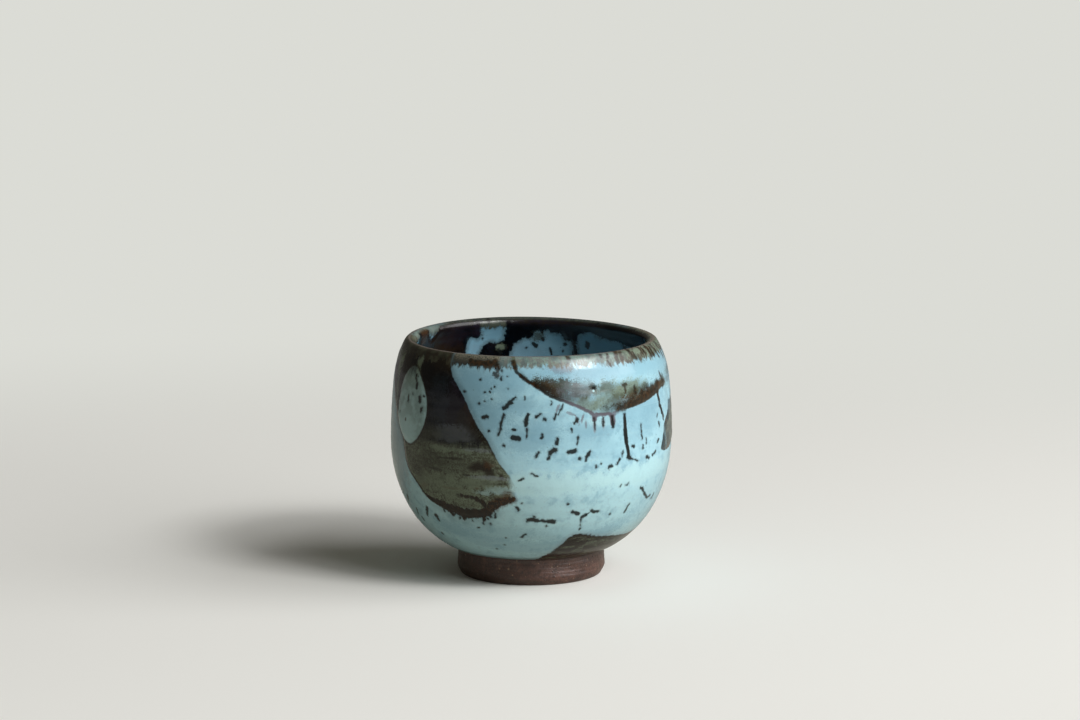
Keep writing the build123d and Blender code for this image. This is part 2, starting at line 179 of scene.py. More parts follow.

# Soft stains laid over each part of the glaze in order, a few of them painted light as noted beside
# them: bearing, height, how far they reach across and up, their lean in degrees, their colour and their strength
STAINS_AND_PAINTED_LIGHT = {
    "base": [
        (-17, 42.5, 5.0, 3.6, 0, "Blue", 0.6), (1, 37.5, 6.0, 3.4, 10, "Blue", 0.5), (-9, 49.5, 3.5, 2.6, 0, "Blue", 0.4),
        (27, 39.0, 6.5, 2.0, 0, "Blue", 0.4), (48, 37.5, 5.0, 3.0, 0, "Blue", 0.3), (-25, 47.5, 4.6, 5.2, 0, "Blue", 0.75),
        (-16, 40.0, 3.0, 5.5, 20, "Blue", 0.45), (-6, 44.5, 4.0, 1.8, 0, "Blue", 0.4), (20, 51.5, 9.0, 1.6, 0, "Blue", 0.3),
        (12, 26.5, 15.0, 2.6, 0, "Milk", 0.8), (50, 27.0, 13.0, 2.6, 0, "Milk", 0.7), (24, 13.0, 10.0, 3.0, 0, "Blue", 0.25),
        # the Lilac stain at bearing -70 and height 30 is a painted reflection, the grey sheen along the left edge of
        # the wall
        (-16, 14.0, 9.0, 2.5, 0, "Blue", 0.3), (-38, 14.5, 6.0, 2.4, 0, "Blue", 0.25), (-70, 30, 5.0, 9.0, 0, "Lilac", 0.45),
        (52, 50.6, 12.0, 1.6, 0, "Milk", 0.15), (30, 40.6, 4.0, 1.2, 0, "Milk", 0.6),
        (48, 42.0, 12.0, 3.0, 0, "Blue", 0.4), (70, 20.0, 10.0, 7.0, 0, "Blue", 0.2), (0, 10.5, 40.0, 2.4, 0, "Blue", 0.4),
        (150, 43.0, 9.0, 3.0, 8, "Milk", 0.45), (-135, 40.0, 12.0, 3.0, -6, "Blue", 0.5), (170, 24.0, 16.0, 2.6, 0, "Milk", 0.6),
        (-140, 22.0, 14.0, 3.0, 0, "Milk", 0.5), (130, 12.5, 16.0, 3.0, 0, "Lilac", 0.4), (-165, 48.0, 12.0, 2.0, 4, "Lilac", 0.5),
        # the Blue stain at bearing 44 and height 51 is painted shade, holding back the top of the wall where the lamps
        # light it strongly
        (44, 51.0, 15.0, 1.6, 0, "Blue", 0.4), (10.9, 43.9, 0.3, 1.0, -24, "Blush", 0.7), (18.9, 41.2, 0.35, 1.3, 18, "Blush", 0.75),
        (21.3, 41.6, 0.3, 1.2, -20, "Blush", 0.75), (16.4, 42.6, 1.4, 0.35, -20, "Blush", 0.6), (26.4, 39.4, 0.4, 1.8, 0, "Lilac", 0.8),
        (30.4, 39.8, 0.4, 1.4, 0, "Lilac", 0.7), (22.6, 40.0, 0.3, 0.9, 0, "Blush", 0.6),
    ],
    "swag": [
        (11.0, 48.6, 5.5, 2.0, -16, "Olive", 0.6), (5.0, 49.0, 3.0, 1.5, -20, "Olive", 0.8), (9.0, 48.9, 3.4, 1.9, -14, "Bark", 0.6), (7.5, 48.2, 3.4, 0.9, -24, "Bark", 0.8), (9.5, 49.2, 2.4, 0.9, -14, "Rust", 0.4),
        (14.5, 48.4, 3.6, 1.5, -14, "Olive", 0.6), (12.5, 47.2, 3.0, 1.1, -20, "Rust", 0.35), (20.0, 46.0, 4.2, 2.0, -14, "Plum", 0.25),
        (20.0, 47.6, 4.2, 1.6, -10, "Lilac", 0.65), (23.0, 44.6, 3.0, 1.4, -14, "Moss", 0.6), (31.0, 44.2, 3.4, 2.0, 0, "Moss", 0.45),
        (35.0, 46.6, 4.6, 2.4, 0, "Moss", 0.6), (44.0, 47.0, 5.5, 1.8, 4, "Moss", 0.85), (37.0, 44.6, 2.6, 1.7, 0, "Olive", 0.65),
        (50.0, 45.7, 5.0, 1.6, 6, "Olive", 0.8), (59.0, 45.6, 5.4, 1.4, 6, "Bark", 0.75), (67.0, 45.6, 3.6, 1.2, 4, "Bark", 0.8),
        (45.0, 44.4, 4.4, 1.2, 4, "Rust", 0.6), (26.4, 48.4, 0.9, 0.75, 0, "Bark", 0.7), (71.0, 46.4, 1.6, 1.2, 0, "Olive", 0.8),
        # the Blush stain at bearing 13 and height 52.9 is partly painted highlight, a pale haze by the shoulder's
        # highlight, and partly lilac crystals in the glaze
        (13.0, 52.9, 3.0, 1.3, 0, "Blush", 0.5), (22.0, 48.2, 4.6, 1.8, -8, "Olive", 0.35), (33.0, 47.8, 2.2, 1.6, 0, "Olive", 0.5),
        (14.0, 46.9, 5.0, 1.4, -16, "Plum", 0.30), (56.0, 44.6, 8.0, 1.3, 6, "Bark", 0.75), (40.0, 43.4, 5.0, 1.0, 4, "Bark", 0.6),
        (86.0, 48.4, 5.0, 1.2, 6, "Olive", 0.6), (96.0, 50.4, 6.0, 1.5, -8, "Moss", 0.6), (108.0, 49.0, 4.0, 2.6, 0, "Olive", 0.6),
        (79.0, 46.6, 3.0, 0.8, 0, "Rust", 0.4), (100.0, 45.6, 5.0, 1.6, -10, "Rust", 0.5),
    ],
    "wedge": [
        (-32, 43.0, 6.5, 5.0, 0, "Plum", 0.9), (-27, 39.6, 2.6, 4.0, 8, "Bark", 0.7), (-38, 53.0, 7.0, 2.4, 0, "Bark", 0.8),
        # the Lilac stains at bearings -33 and -31 are painted sheen on the black glaze, the lower one also a paler
        # streak in it
        (-40, 44.5, 2.6, 6.0, 0, "Deep", 0.04), (-33, 37.4, 6.0, 1.8, 0, "Lilac", 0.22), (-31, 42.5, 5.0, 4.0, 0, "Lilac", 0.02),
        (-24, 41.5, 1.6, 2.6, 30, "Rust", 0.08),
        (-72, 46.0, 4.5, 9.0, 10, "Bark", 0.75), (-47, 36.5, 5.0, 1.5, 10, "Olive", 0.5), (-20, 37.4, 3.4, 1.4, -30, "Bark", 0.7),
    ],
    "moss": [
        (-20, 30.4, 2.9, 1.1, 0, "Bark", 0.95), (-24.2, 30.2, 1.2, 1.0, 0, "Bark", 0.8), (-16.6, 29.4, 1.3, 1.3, 0, "Bark", 0.85),
        (-26.6, 28.3, 1.2, 0.35, 0, "Bark", 0.8), (-16.2, 31.0, 1.4, 0.8, 0, "Rust", 0.45), (-38.2, 26.9, 0.9, 0.45, 0, "Bark", 0.85),
        (-52, 27.4, 1.6, 2.2, 30, "Bark", 0.65), (-45, 30.4, 3.2, 2.2, 30, "Bark", 0.35), (-34, 30.0, 4.4, 1.8, 0, "Bark", 0.3),
        (-31, 23.2, 0.6, 0.5, 0, "Bark", 0.9), (-18.2, 26.9, 0.8, 0.5, 0, "Bark", 0.8), (-22.3, 25.4, 0.6, 0.35, 0, "Rust", 0.7),
        (-11.6, 28.4, 0.6, 0.8, 0, "Bark", 0.8), (-13.2, 26.7, 3.0, 0.3, 4, "Bark", 0.7), (-49.2, 24.4, 1.5, 0.6, 20, "Rust", 0.5),
        (-12.6, 25.2, 3.4, 0.9, 4, "Milk", 0.45), (-19.0, 24.3, 2.0, 0.6, -8, "Milk", 0.35), (-17.0, 28.0, 5.0, 0.5, 0, "Lilac", 0.5),
        (-38.5, 33.8, 3.0, 0.8, 0, "Moss", 0.8), (-33.0, 31.8, 3.6, 0.35, 3, "Bark", 0.7), (-42.0, 28.8, 2.6, 0.4, -4, "Bark", 0.7),
        (-27.6, 26.0, 2.2, 0.32, 4, "Bark", 0.65), (-34.0, 24.8, 2.4, 0.3, 0, "Rust", 0.5), (-30.5, 33.8, 5.0, 0.7, 0, "Moss", 0.6), (-20.0, 34.2, 4.0, 0.5, 0, "Lilac", 0.3),
        (-40.0, 25.0, 9.0, 3.0, 0, "Moss", 0.45), (-24.0, 26.5, 7.0, 1.6, 0, "Moss", 0.5),
        (-9.0, 24.6, 1.4, 0.7, 0, "Rust", 0.5), (-14.0, 34.0, 1.1, 2.4, 38, "Bark", 0.85), (-9.4, 30.2, 0.8, 1.6, 38, "Bark", 0.7),
    ],
    "above": [
        (-74, 50.6, 1.5, 3.0, 0, "Moss", 0.85), (-56, 52.4, 0.9, 1.6, 0, "Moss", 0.8), (-55, 50.0, 0.7, 1.6, 0, "Moss", 0.6),
        (-65, 51.6, 1.0, 1.8, 0, "Bark", 0.6), (-72.5, 44.6, 0.7, 5.0, 0, "Moss", 0.45), (-84, 52.2, 4.0, 2.0, 0, "Moss", 0.7),
        (-96, 53.4, 3.0, 1.8, 0, "Tan", 0.6),
    ],
    "inside": [
        (248, 54.0, 2.0, 2.4, 0, "Rust", 0.45), (195, 48.0, 1.3, 0.8, 0, "Moss", 0.7), (176.6, 50.4, 1.5, 1.5, 0, "Olive", 0.8),
        (208, 52.8, 1.0, 1.6, 0, "Plum", 0.8), (231, 48.0, 4.0, 5.0, 0, "Bark", 0.7), (222.0, 52.0, 4.0, 2.6, 0, "Plum", 0.6),
        (226.0, 44.0, 7.0, 4.0, 0, "Bark", 0.6), (234.0, 50.0, 8.0, 6.0, 0, "Rust", 0.10),
    ],
}


class CupSizes(bpy.types.PropertyGroup):
    """Sizes of the cup's skin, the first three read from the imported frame"""

    widest_radius: FloatProperty(name="Widest radius", description="Radius of the belly at its widest",
                                 default=bowl_high.x - 0.00006, unit="LENGTH")
    foot_height: FloatProperty(name="Foot height", description="Height of the bowl's underside",
                               default=foot_high.z, unit="LENGTH")
    foot_radius: FloatProperty(name="Foot radius", description="Largest radius of the foot ring",
                               default=foot_high.x, unit="LENGTH")
    root_radius: FloatProperty(name="Root radius", description="Radius of the bowl where the foot begins",
                               default=0.0176, unit="LENGTH")
    haunch_arc_radius: FloatProperty(name="Haunch arc", description="Radius of the lowest arc of the wall",
                                     default=0.022, unit="LENGTH")
    belly_arc_radius: FloatProperty(name="Belly arc", description="Radius of the arc below the widest part",
                                    default=0.0318, unit="LENGTH")
    flank_arc_radius: FloatProperty(name="Flank arc", description="Radius of the nearly upright arc above it",
                                    default=0.143, unit="LENGTH")
    shoulder_arc_radius: FloatProperty(name="Shoulder arc", description="Radius of the arc that turns in to the lip",
                                       default=0.025, unit="LENGTH")
    belly_turn: FloatProperty(name="Belly turn", description="Angle that the belly arc covers",
                              default=math.radians(29.8), subtype="ANGLE", unit="ROTATION")
    flank_turn: FloatProperty(name="Flank turn", description="Angle that the flank arc covers",
                              default=math.radians(5.7), subtype="ANGLE", unit="ROTATION")
    shoulder_turn: FloatProperty(name="Shoulder turn", description="Angle that the shoulder arc covers",
                                 default=math.radians(21.3), subtype="ANGLE", unit="ROTATION")
    wall_thickness: FloatProperty(name="Wall thickness", description="Thickness of the wall and the lip",
                                  default=0.0029, unit="LENGTH")
    floor_thickness: FloatProperty(name="Floor thickness", description="Thickness of the floor over the foot",
                                   default=0.0047, unit="LENGTH")
    ring_depth: FloatProperty(name="Throwing ring depth", description="Depth of the soft rings left by the fingers",
                              default=0.000012, unit="LENGTH")
    wander: FloatProperty(name="Hand-thrown wander", description="How far the wall strays from a true circle",
                          default=0.00022, unit="LENGTH")
    pour_thickness: FloatProperty(name="Pour thickness", description="How far a poured glaze stands proud",
                                  default=0.00019, unit="LENGTH")
    splash_thickness: FloatProperty(name="Splash thickness", description="How far the splash stands proud of the pour",
                                    default=0.00018, unit="LENGTH")
    skin_spacing: FloatProperty(name="Skin spacing", description="Distance between the rows of the skin's mesh",
                                default=0.00055, unit="LENGTH")
    pour_spacing: FloatProperty(name="Pour spacing", description="Distance between the rows of a pour's mesh",
                                default=0.0003, unit="LENGTH")


def colour(name, description, red, green, blue):
    """A colour property in scene-linear values."""
    return FloatVectorProperty(name=name, description=description, default=(red, green, blue), subtype="COLOR",
                               size=3, min=0.0, max=1.0)


class CupColours(bpy.types.PropertyGroup):
    """Colours of the clay and the fired glazes, the same from any side"""

    pale: colour("Pale", "Pale turquoise base glaze", 0.41, 0.69, 0.79)
    blue: colour("Blue", "Bluer clouds in the base glaze", 0.21, 0.41, 0.52)
    milk: colour("Milk", "Thick, milky base glaze low on the belly", 0.53, 0.81, 0.85)
    deep: colour("Deep", "Base glaze in the shade of the inside", 0.13, 0.28, 0.37)
    iron: colour("Iron", "Black iron glaze", 0.0015, 0.0015, 0.0025)
    # Deep is painted shade: the base glaze in the shade of the inside; the black pour takes a faint tint of it too
    plum: colour("Plum", "Purple-black iron glaze", 0.011, 0.008, 0.014)
    bark: colour("Bark", "Brown-black iron glaze", 0.014, 0.009, 0.004)
    olive: colour("Olive", "Dark olive iron glaze", 0.056, 0.060, 0.036)
    moss: colour("Moss", "Grey-green iron glaze", 0.185, 0.235, 0.165)
    rust: colour("Rust", "Rust where iron glaze runs thin", 0.082, 0.036, 0.010)
    lilac: colour("Lilac", "Grey-lilac veil of thin iron glaze", 0.25, 0.29, 0.33)
    blush: colour("Blush", "Pinkish line along the veil's hem", 0.165, 0.135, 0.165)
    tan: colour("Tan", "Tan where glaze breaks over the lip", 0.21, 0.18, 0.115)
    ink: colour("Ink", "Flecks and runs", 0.007, 0.009, 0.009)
    clay: colour("Clay", "Dark red-brown stoneware", 0.054, 0.019, 0.012)
    clay_rust: colour("Clay rust", "Rusty blush of the stoneware", 0.14, 0.062, 0.045)


def in_millimetres(sizes):
    """The sizes with lengths in millimetres and angles in radians."""
    made = {}
    for prop in sizes.bl_rna.properties:
        if prop.type == "FLOAT" and not prop.is_readonly:
            value = getattr(sizes, prop.identifier)
            made[prop.identifier] = value if prop.unit == "ROTATION" else value / MM
    return SimpleNamespace(**made)


def arc(centre, radius, start, finish, spacing):
    """Points along an arc in the profile plane, its end left out."""
    count = max(3, round(abs(finish - start) * radius / spacing))
    angles = start + (finish - start) * np.arange(count) / count
    return np.stack([centre[0] + radius * np.cos(angles), centre[1] + radius * np.sin(angles)], 1)


def straight(start, finish, spacing):
    """Points along a straight line in the profile plane, its end left out."""
    count = max(2, round(math.dist(start, finish) / spacing))
    shares = np.arange(count)[:, None] / count
    return np.array(start) + (np.array(finish) - np.array(start)) * shares


def polar(centre, radius, angle):
    return np.array([centre[0] + radius * math.cos(angle), centre[1] + radius * math.sin(angle)])


class Skin:
    """The bowl's surface: a place on it is a bearing and a distance from the lip's crown, positive outside."""

    def __init__(self, mm):
        self.mm = mm
        belly, flank = mm.belly_turn, mm.flank_turn
        lip = flank + mm.shoulder_turn
        step = mm.belly_arc_radius - mm.haunch_arc_radius
        belly_x = mm.widest_radius - mm.belly_arc_radius
        haunch_x = belly_x + step * math.cos(belly)
        root = math.acos((mm.root_radius - haunch_x) / mm.haunch_arc_radius)
        widest_z = mm.foot_height + step * math.sin(belly) + mm.haunch_arc_radius * math.sin(root)
        belly_at = (belly_x, widest_z)
        haunch_at = (haunch_x, widest_z - step * math.sin(belly))
        flank_at = (mm.widest_radius - mm.flank_arc_radius, widest_z)
        shoulder_at = polar(flank_at, mm.flank_arc_radius - mm.shoulder_arc_radius, flank)
        lip_round = mm.wall_thickness / 2
        lip_at = polar(shoulder_at, mm.shoulder_arc_radius - lip_round, lip)
        floor_z = mm.foot_height + mm.floor_thickness
        inner_belly = mm.belly_arc_radius - mm.wall_thickness
        well = (widest_z - floor_z - inner_belly * math.sin(belly)) / (1 - math.sin(belly))
        well_at = polar(belly_at, inner_belly - well, -belly)
        thick, s = mm.wall_thickness, mm.skin_spacing
        # the glaze rolls over the edge of the underside
        roll = 0.55
        under = (mm.root_radius - roll, mm.foot_height)
        corner = (mm.root_radius, mm.foot_height)
        turned = -root + roll / mm.haunch_arc_radius
        above = polar(haunch_at, mm.haunch_arc_radius, turned)
        t = np.linspace(0, 1, 6)[:-1, None]
        rolled = (1 - t) ** 2 * under + 2 * t * (1 - t) * np.array(corner) + t ** 2 * above
        path = [
            straight((0.0, mm.foot_height), under, 4 * s),
            rolled,
            arc(haunch_at, mm.haunch_arc_radius, turned, -belly, s),
            arc(belly_at, mm.belly_arc_radius, -belly, 0.0, s),
            arc(flank_at, mm.flank_arc_radius, 0.0, flank, s),
            arc(shoulder_at, mm.shoulder_arc_radius, flank, lip, s),
            arc(lip_at, lip_round, lip, math.pi / 2, s / 2),
        ]
        outside = sum(len(p) for p in path)
        path += [
            arc(lip_at, lip_round, math.pi / 2, math.pi + lip, s / 2),
            arc(shoulder_at, mm.shoulder_arc_radius - thick, lip, flank, s),
            arc(flank_at, mm.flank_arc_radius - thick, flank, 0.0, s),
            arc(belly_at, inner_belly, 0.0, -belly, s),
            arc(well_at, well, -belly, -math.pi / 2, s),
            straight((well_at[0], floor_z), (0.0, floor_z), 1.6 * s),
            [(0.0, floor_z)],
        ]
        self.path = np.vstack(path)
        ahead = np.gradient(self.path, axis=0)
        ahead /= np.linalg.norm(ahead, axis=1)[:, None]
        self.normal = np.stack([ahead[:, 1], -ahead[:, 0]], 1)
        steps = np.linalg.norm(np.diff(self.path, axis=0), axis=1)
        self.along = np.concatenate([[0], np.cumsum(steps)])
        self.crown = self.along[outside]
        self.outside = outside
        self.lip_height = self.path[outside, 1]
        self.root_along = self.along[len(path[0])]

    def from_lip(self, height, inside=False):
        """Distance from the crown of a height on the wall; heights above the lip lie past the crown."""
        height = np.asarray(height, float)
        if inside:
            wall = slice(self.outside, len(self.path) - 20)
            found = np.interp(-height, -self.path[wall, 1], self.crown - self.along[wall])
            over = height - self.lip_height
        else:
            wall = slice(4, self.outside + 1)
            found = np.interp(height, self.path[wall, 1], self.crown - self.along[wall])
            over = self.lip_height - height
        return np.where(height > self.lip_height, over, found)

    def relief(self, bearing, from_lip, height):
        """How far the hand-thrown wall stands under the true one; never above it."""
        turn = np.radians(bearing)
        rings = np.sin(from_lip * 1.9 + 1.1 * np.sin(turn + 0.6)) + 0.6 * np.sin(from_lip * 3.3 + 0.7 * np.cos(turn))
        slow = 0.6 * np.sin(2 * turn + 0.8) + 0.4 * np.sin(3 * turn - height * 0.05) - 1.0
        return self.mm.ring_depth * (rings - 1.6) + self.mm.wander * slow / 2

    def place(self, bearing, from_lip, proud=0.0, thrown=True):
        """Points on the skin, a distance proud of it; without the hand-thrown relief if thrown is False."""
        bearing, from_lip = np.broadcast_arrays(np.asarray(bearing, float), np.asarray(from_lip, float))
        at = self.crown - from_lip
        radius, height = (np.interp(at, self.along, self.path[:, k]) for k in (0, 1))
        out, up = (np.interp(at, self.along, self.normal[:, k]) for k in (0, 1))
        turn = np.radians(bearing)
        if thrown:
            free = np.clip((radius - 1.0) / 6.0, 0, 1) * np.clip((height - self.mm.foot_height) / 4.0, 0, 1)
            proud = proud + self.relief(bearing, from_lip, height) * free
            share = np.clip((height - 30.0) / 25.0, 0, 1)
            height = height + share * 0.16 * (np.sin(turn + 2.1) + 0.5 * np.sin(2 * turn + 0.4) - 1.5)
        radius, height = radius + out * proud, height + up * proud
        return np.stack([radius * np.sin(turn), -radius * np.cos(turn), height], -1)


def smoothed(points, steps=8, closed=True):
    """A Catmull-Rom curve through given points."""
    points = np.array(points, float)
    count = len(points)
    if closed:
        ring = np.vstack([points[-1:], points, points[:2]])
    else:
        ring = np.vstack([points[:1], points, points[-1:]])
    shares = np.arange(steps)[:, None] / steps
    made = []
    for k in range(count if closed else count - 1):
        a, b, c, d = ring[k:k + 4]
        made.append(0.5 * (2 * b + (c - a) * shares + (2 * a - 5 * b + 4 * c - d) * shares ** 2
                           + (3 * b - a - 3 * c + d) * shares ** 3))
    return np.vstack(made if closed else made + [points[-1:]])


def to_segment(points, start, end):
    """Distance of many points from one segment."""
    along = end - start
    share = np.clip((points - start) @ along / max(along @ along, 1e-9), 0, 1)
    return np.linalg.norm(points - start - share[:, None] * along, axis=1)


FAR = 6.0


class Outline:
    """A closed outline on the skin, given as points, with runs that hang from it."""

    def __init__(self, skin, points, runs=(), inside=False):
        curve = smoothed(points)
        self.skin = skin
        self.bearing = curve[:, 0]
        self.from_lip = skin.from_lip(curve[:, 1], inside)
        self.middle = (self.bearing.min() + self.bearing.max()) / 2
        self.corners = skin.place(self.bearing, self.from_lip, thrown=False)
        self.runs = [run_corners(skin, run, inside) for run in runs]

    def distance(self, bearing, from_lip, places):
        """Signed distance of places on the skin, negative inside, kept within FAR."""
        local = (bearing - self.middle + 180) % 360 - 180 + self.middle
        reach = (self.bearing.max() - self.bearing.min()) / 2 + 16
        near = np.abs(local - self.middle) < reach
        near &= (from_lip > self.from_lip.min() - FAR) & (from_lip < self.from_lip.max() + 14)
        made = np.full(len(bearing), FAR)
        p, b, l = places[near], local[near], from_lip[near]
        nearest, within = np.full(len(p), FAR), np.zeros(len(p), bool)
        for k in range(len(self.corners)):
            j = (k + 1) % len(self.corners)
            nearest = np.minimum(nearest, to_segment(p, self.corners[k], self.corners[j]))
            low, high = self.from_lip[k], self.from_lip[j]
            if low != high:
                cross = self.bearing[k] + (l - low) / (high - low) * (self.bearing[j] - self.bearing[k])
                within ^= ((low > l) != (high > l)) & (b < cross)
        signed = np.where(within, -nearest, nearest)
        for corners, width in self.runs:
            for start, end in zip(corners, corners[1:]):
                hang = to_segment(p, start, end) - width / 2
                blend = np.clip(0.5 + (signed - hang) / 1.4, 0, 1)
                signed = signed + (hang - signed) * blend - 0.7 * blend * (1 - blend)
        made[near] = signed
        return np.clip(made, -FAR, FAR)


def run_corners(skin, run, inside=False):
    """Corners in space and width of a listed run or fleck."""
    bearing, height, width, *stretches = run
    from_lip = float(skin.from_lip(height, inside))
    corners = [skin.place(bearing, from_lip, thrown=False)]
    for across, up in stretches:
        radius = math.hypot(*corners[-1][:2])
        bearing += math.degrees(across / radius) * (-1 if inside else 1)
        from_lip += up if inside else -up
        corners.append(skin.place(bearing, from_lip, thrown=False))
    return np.array(corners), width


class Pattern:
    """All outlines of the poured glazes, and the values that the glaze's nodes read at each vertex."""

    def __init__(self, skin):
        self.skin = skin
        self.outlines = {
            "left_pour": Outline(skin, LEFT_POUR, LEFT_RUNS),
            "right_pour": Outline(skin, RIGHT_POUR, RIGHT_RUNS),
            "inner_pour": Outline(skin, INNER_POUR, INNER_RUNS, inside=True),
            "splash": Outline(skin, SPLASH),
            "foot_patch": Outline(skin, FOOT_PATCH),
        }
        self.hem_lines = []
        for points in (LEFT_HEM, LEFT_SEAM):
            line = smoothed(points, closed=False)
            self.hem_lines.append((line, skin.place(line[:, 0], skin.from_lip(line[:, 1]), thrown=False)))

    def values(self, bearing, from_lip):
        places = self.skin.place(bearing, from_lip, thrown=False)
        made = {name: o.distance(bearing, from_lip, places) for name, o in self.outlines.items()}
        near = made["left_pour"] < FAR
        hem = np.full(len(bearing), 40.0)
        for line, corners in self.hem_lines:
            for start, end, half_width in zip(corners, corners[1:], line[:, 2]):
                hem[near] = np.minimum(hem[near], to_segment(places[near], start, end) - half_width)
        # all of the pour under the middle of the band is as dark as the band
        line = self.hem_lines[0][0]
        lowest = np.interp(bearing, line[:, 0], self.skin.from_lip(line[:, 1]))
        under = near & (bearing > line[0, 0]) & (bearing < line[-1, 0]) & (from_lip > lowest)
        hem[under] = np.minimum(hem[under], made["left_pour"][under])
        made["left_hem"] = hem
        made["from_lip"] = from_lip
        made["base_place"] = places
        return made


def make_object(name, points, faces, values, material):
    """A smooth mesh object in metres whose vertices hold the pattern's values."""
    mesh = bpy.data.meshes.new(name)
    mesh.from_pydata((points * MM).tolist(), [], faces)
    for key, value in values.items():
        kind = "FLOAT_VECTOR" if value.ndim == 2 else "FLOAT"
        layer = mesh.attributes.new(key, kind, "POINT")
        layer.data.foreach_set("vector" if value.ndim == 2 else "value", value.astype(np.float32).ravel())
    mesh.polygons.foreach_set("use_smooth", [True] * len(mesh.polygons))
    mesh.materials.append(material)
    mesh.update()
    made = bpy.data.objects.new(name, mesh)
    bpy.context.scene.collection.objects.link(made)
    return made


def revolved(rows, columns):
    """Faces of rows of points round the axis, with a pole before the first row and one after the last."""
    faces, first, last = [], 0, 1 + rows * columns
    for c in range(columns):
        d = (c + 1) % columns
        faces.append((first, 1 + d, 1 + c))
        for r in range(rows - 1):
            a, b = 1 + r * columns, 1 + (r + 1) * columns
            faces.append((a + c, a + d, b + d, b + c))
        end = 1 + (rows - 1) * columns
        faces.append((end + c, end + d, last))
    return faces


def shell(kept, rows, columns):
    """Faces of a closed shell over the kept cells of a grid: its top, its underside and its rim."""
    count = rows * columns
    faces, edges = [], {}
    for r, c in zip(*np.nonzero(kept)):
        a = int(r * columns + c)
        quad = (a, a + 1, a + columns + 1, a + columns)
        faces.append(quad)
        faces.append(tuple(count + k for k in reversed(quad)))
        for start, end in zip(quad, quad[1:] + quad[:1]):
            if (end, start) in edges:
                del edges[end, start]
            else:
                edges[start, end] = True
    faces += [(end, start, count + start, count + end) for start, end in edges]
    used = sorted({k for face in faces for k in face})
    place = {old: new for new, old in enumerate(used)}
    return used, [tuple(place[k] for k in face) for face in faces]


def pour_object(name, pattern, key, bearings, lips, proud, under, material):
    """A pour as a thin closed shell whose edge dips under the skin along its outline."""
    mm, skin = pattern.skin.mm, pattern.skin
    rows = np.arange(lips[0], lips[1], mm.pour_spacing)
    degrees = math.degrees(mm.pour_spacing / mm.widest_radius)
    columns = np.arange(bearings[0], bearings[1], degrees)
    grid_lip, grid_bearing = np.meshgrid(rows[::-1], columns, indexing="ij")
    bearing, from_lip = grid_bearing.ravel(), grid_lip.ravel()
    values = pattern.values(bearing, from_lip)
    depth = -values[key]
    rise = np.clip(depth / 1.5, 0, 1)
    roll = 0.25 * np.exp(-((depth - 0.9) / 0.5) ** 2)
    thin = np.clip(np.abs(from_lip) / 5.0, 0.05, 1)
    height = np.where(depth > 0, proud(rise * rise * (3 - 2 * rise) + roll * (depth > 0)) * thin, 0.22 * depth)
    edge = under + np.minimum(depth, 0) * 0.22
    kept_points = (depth > -1.0).reshape(grid_lip.shape)
    kept = kept_points[:-1, :-1] & kept_points[1:, :-1] & kept_points[:-1, 1:] & kept_points[1:, 1:]
    used, faces = shell(kept, len(rows), len(columns))
    top = skin.place(bearing, from_lip, height)
    bottom = skin.place(bearing, from_lip, edge - 0.35)
    points = np.vstack([top, bottom])[used]
    doubled = {k: np.concatenate([v, v])[used] for k, v in values.items()}
    return make_object(name, points, faces, doubled, material)


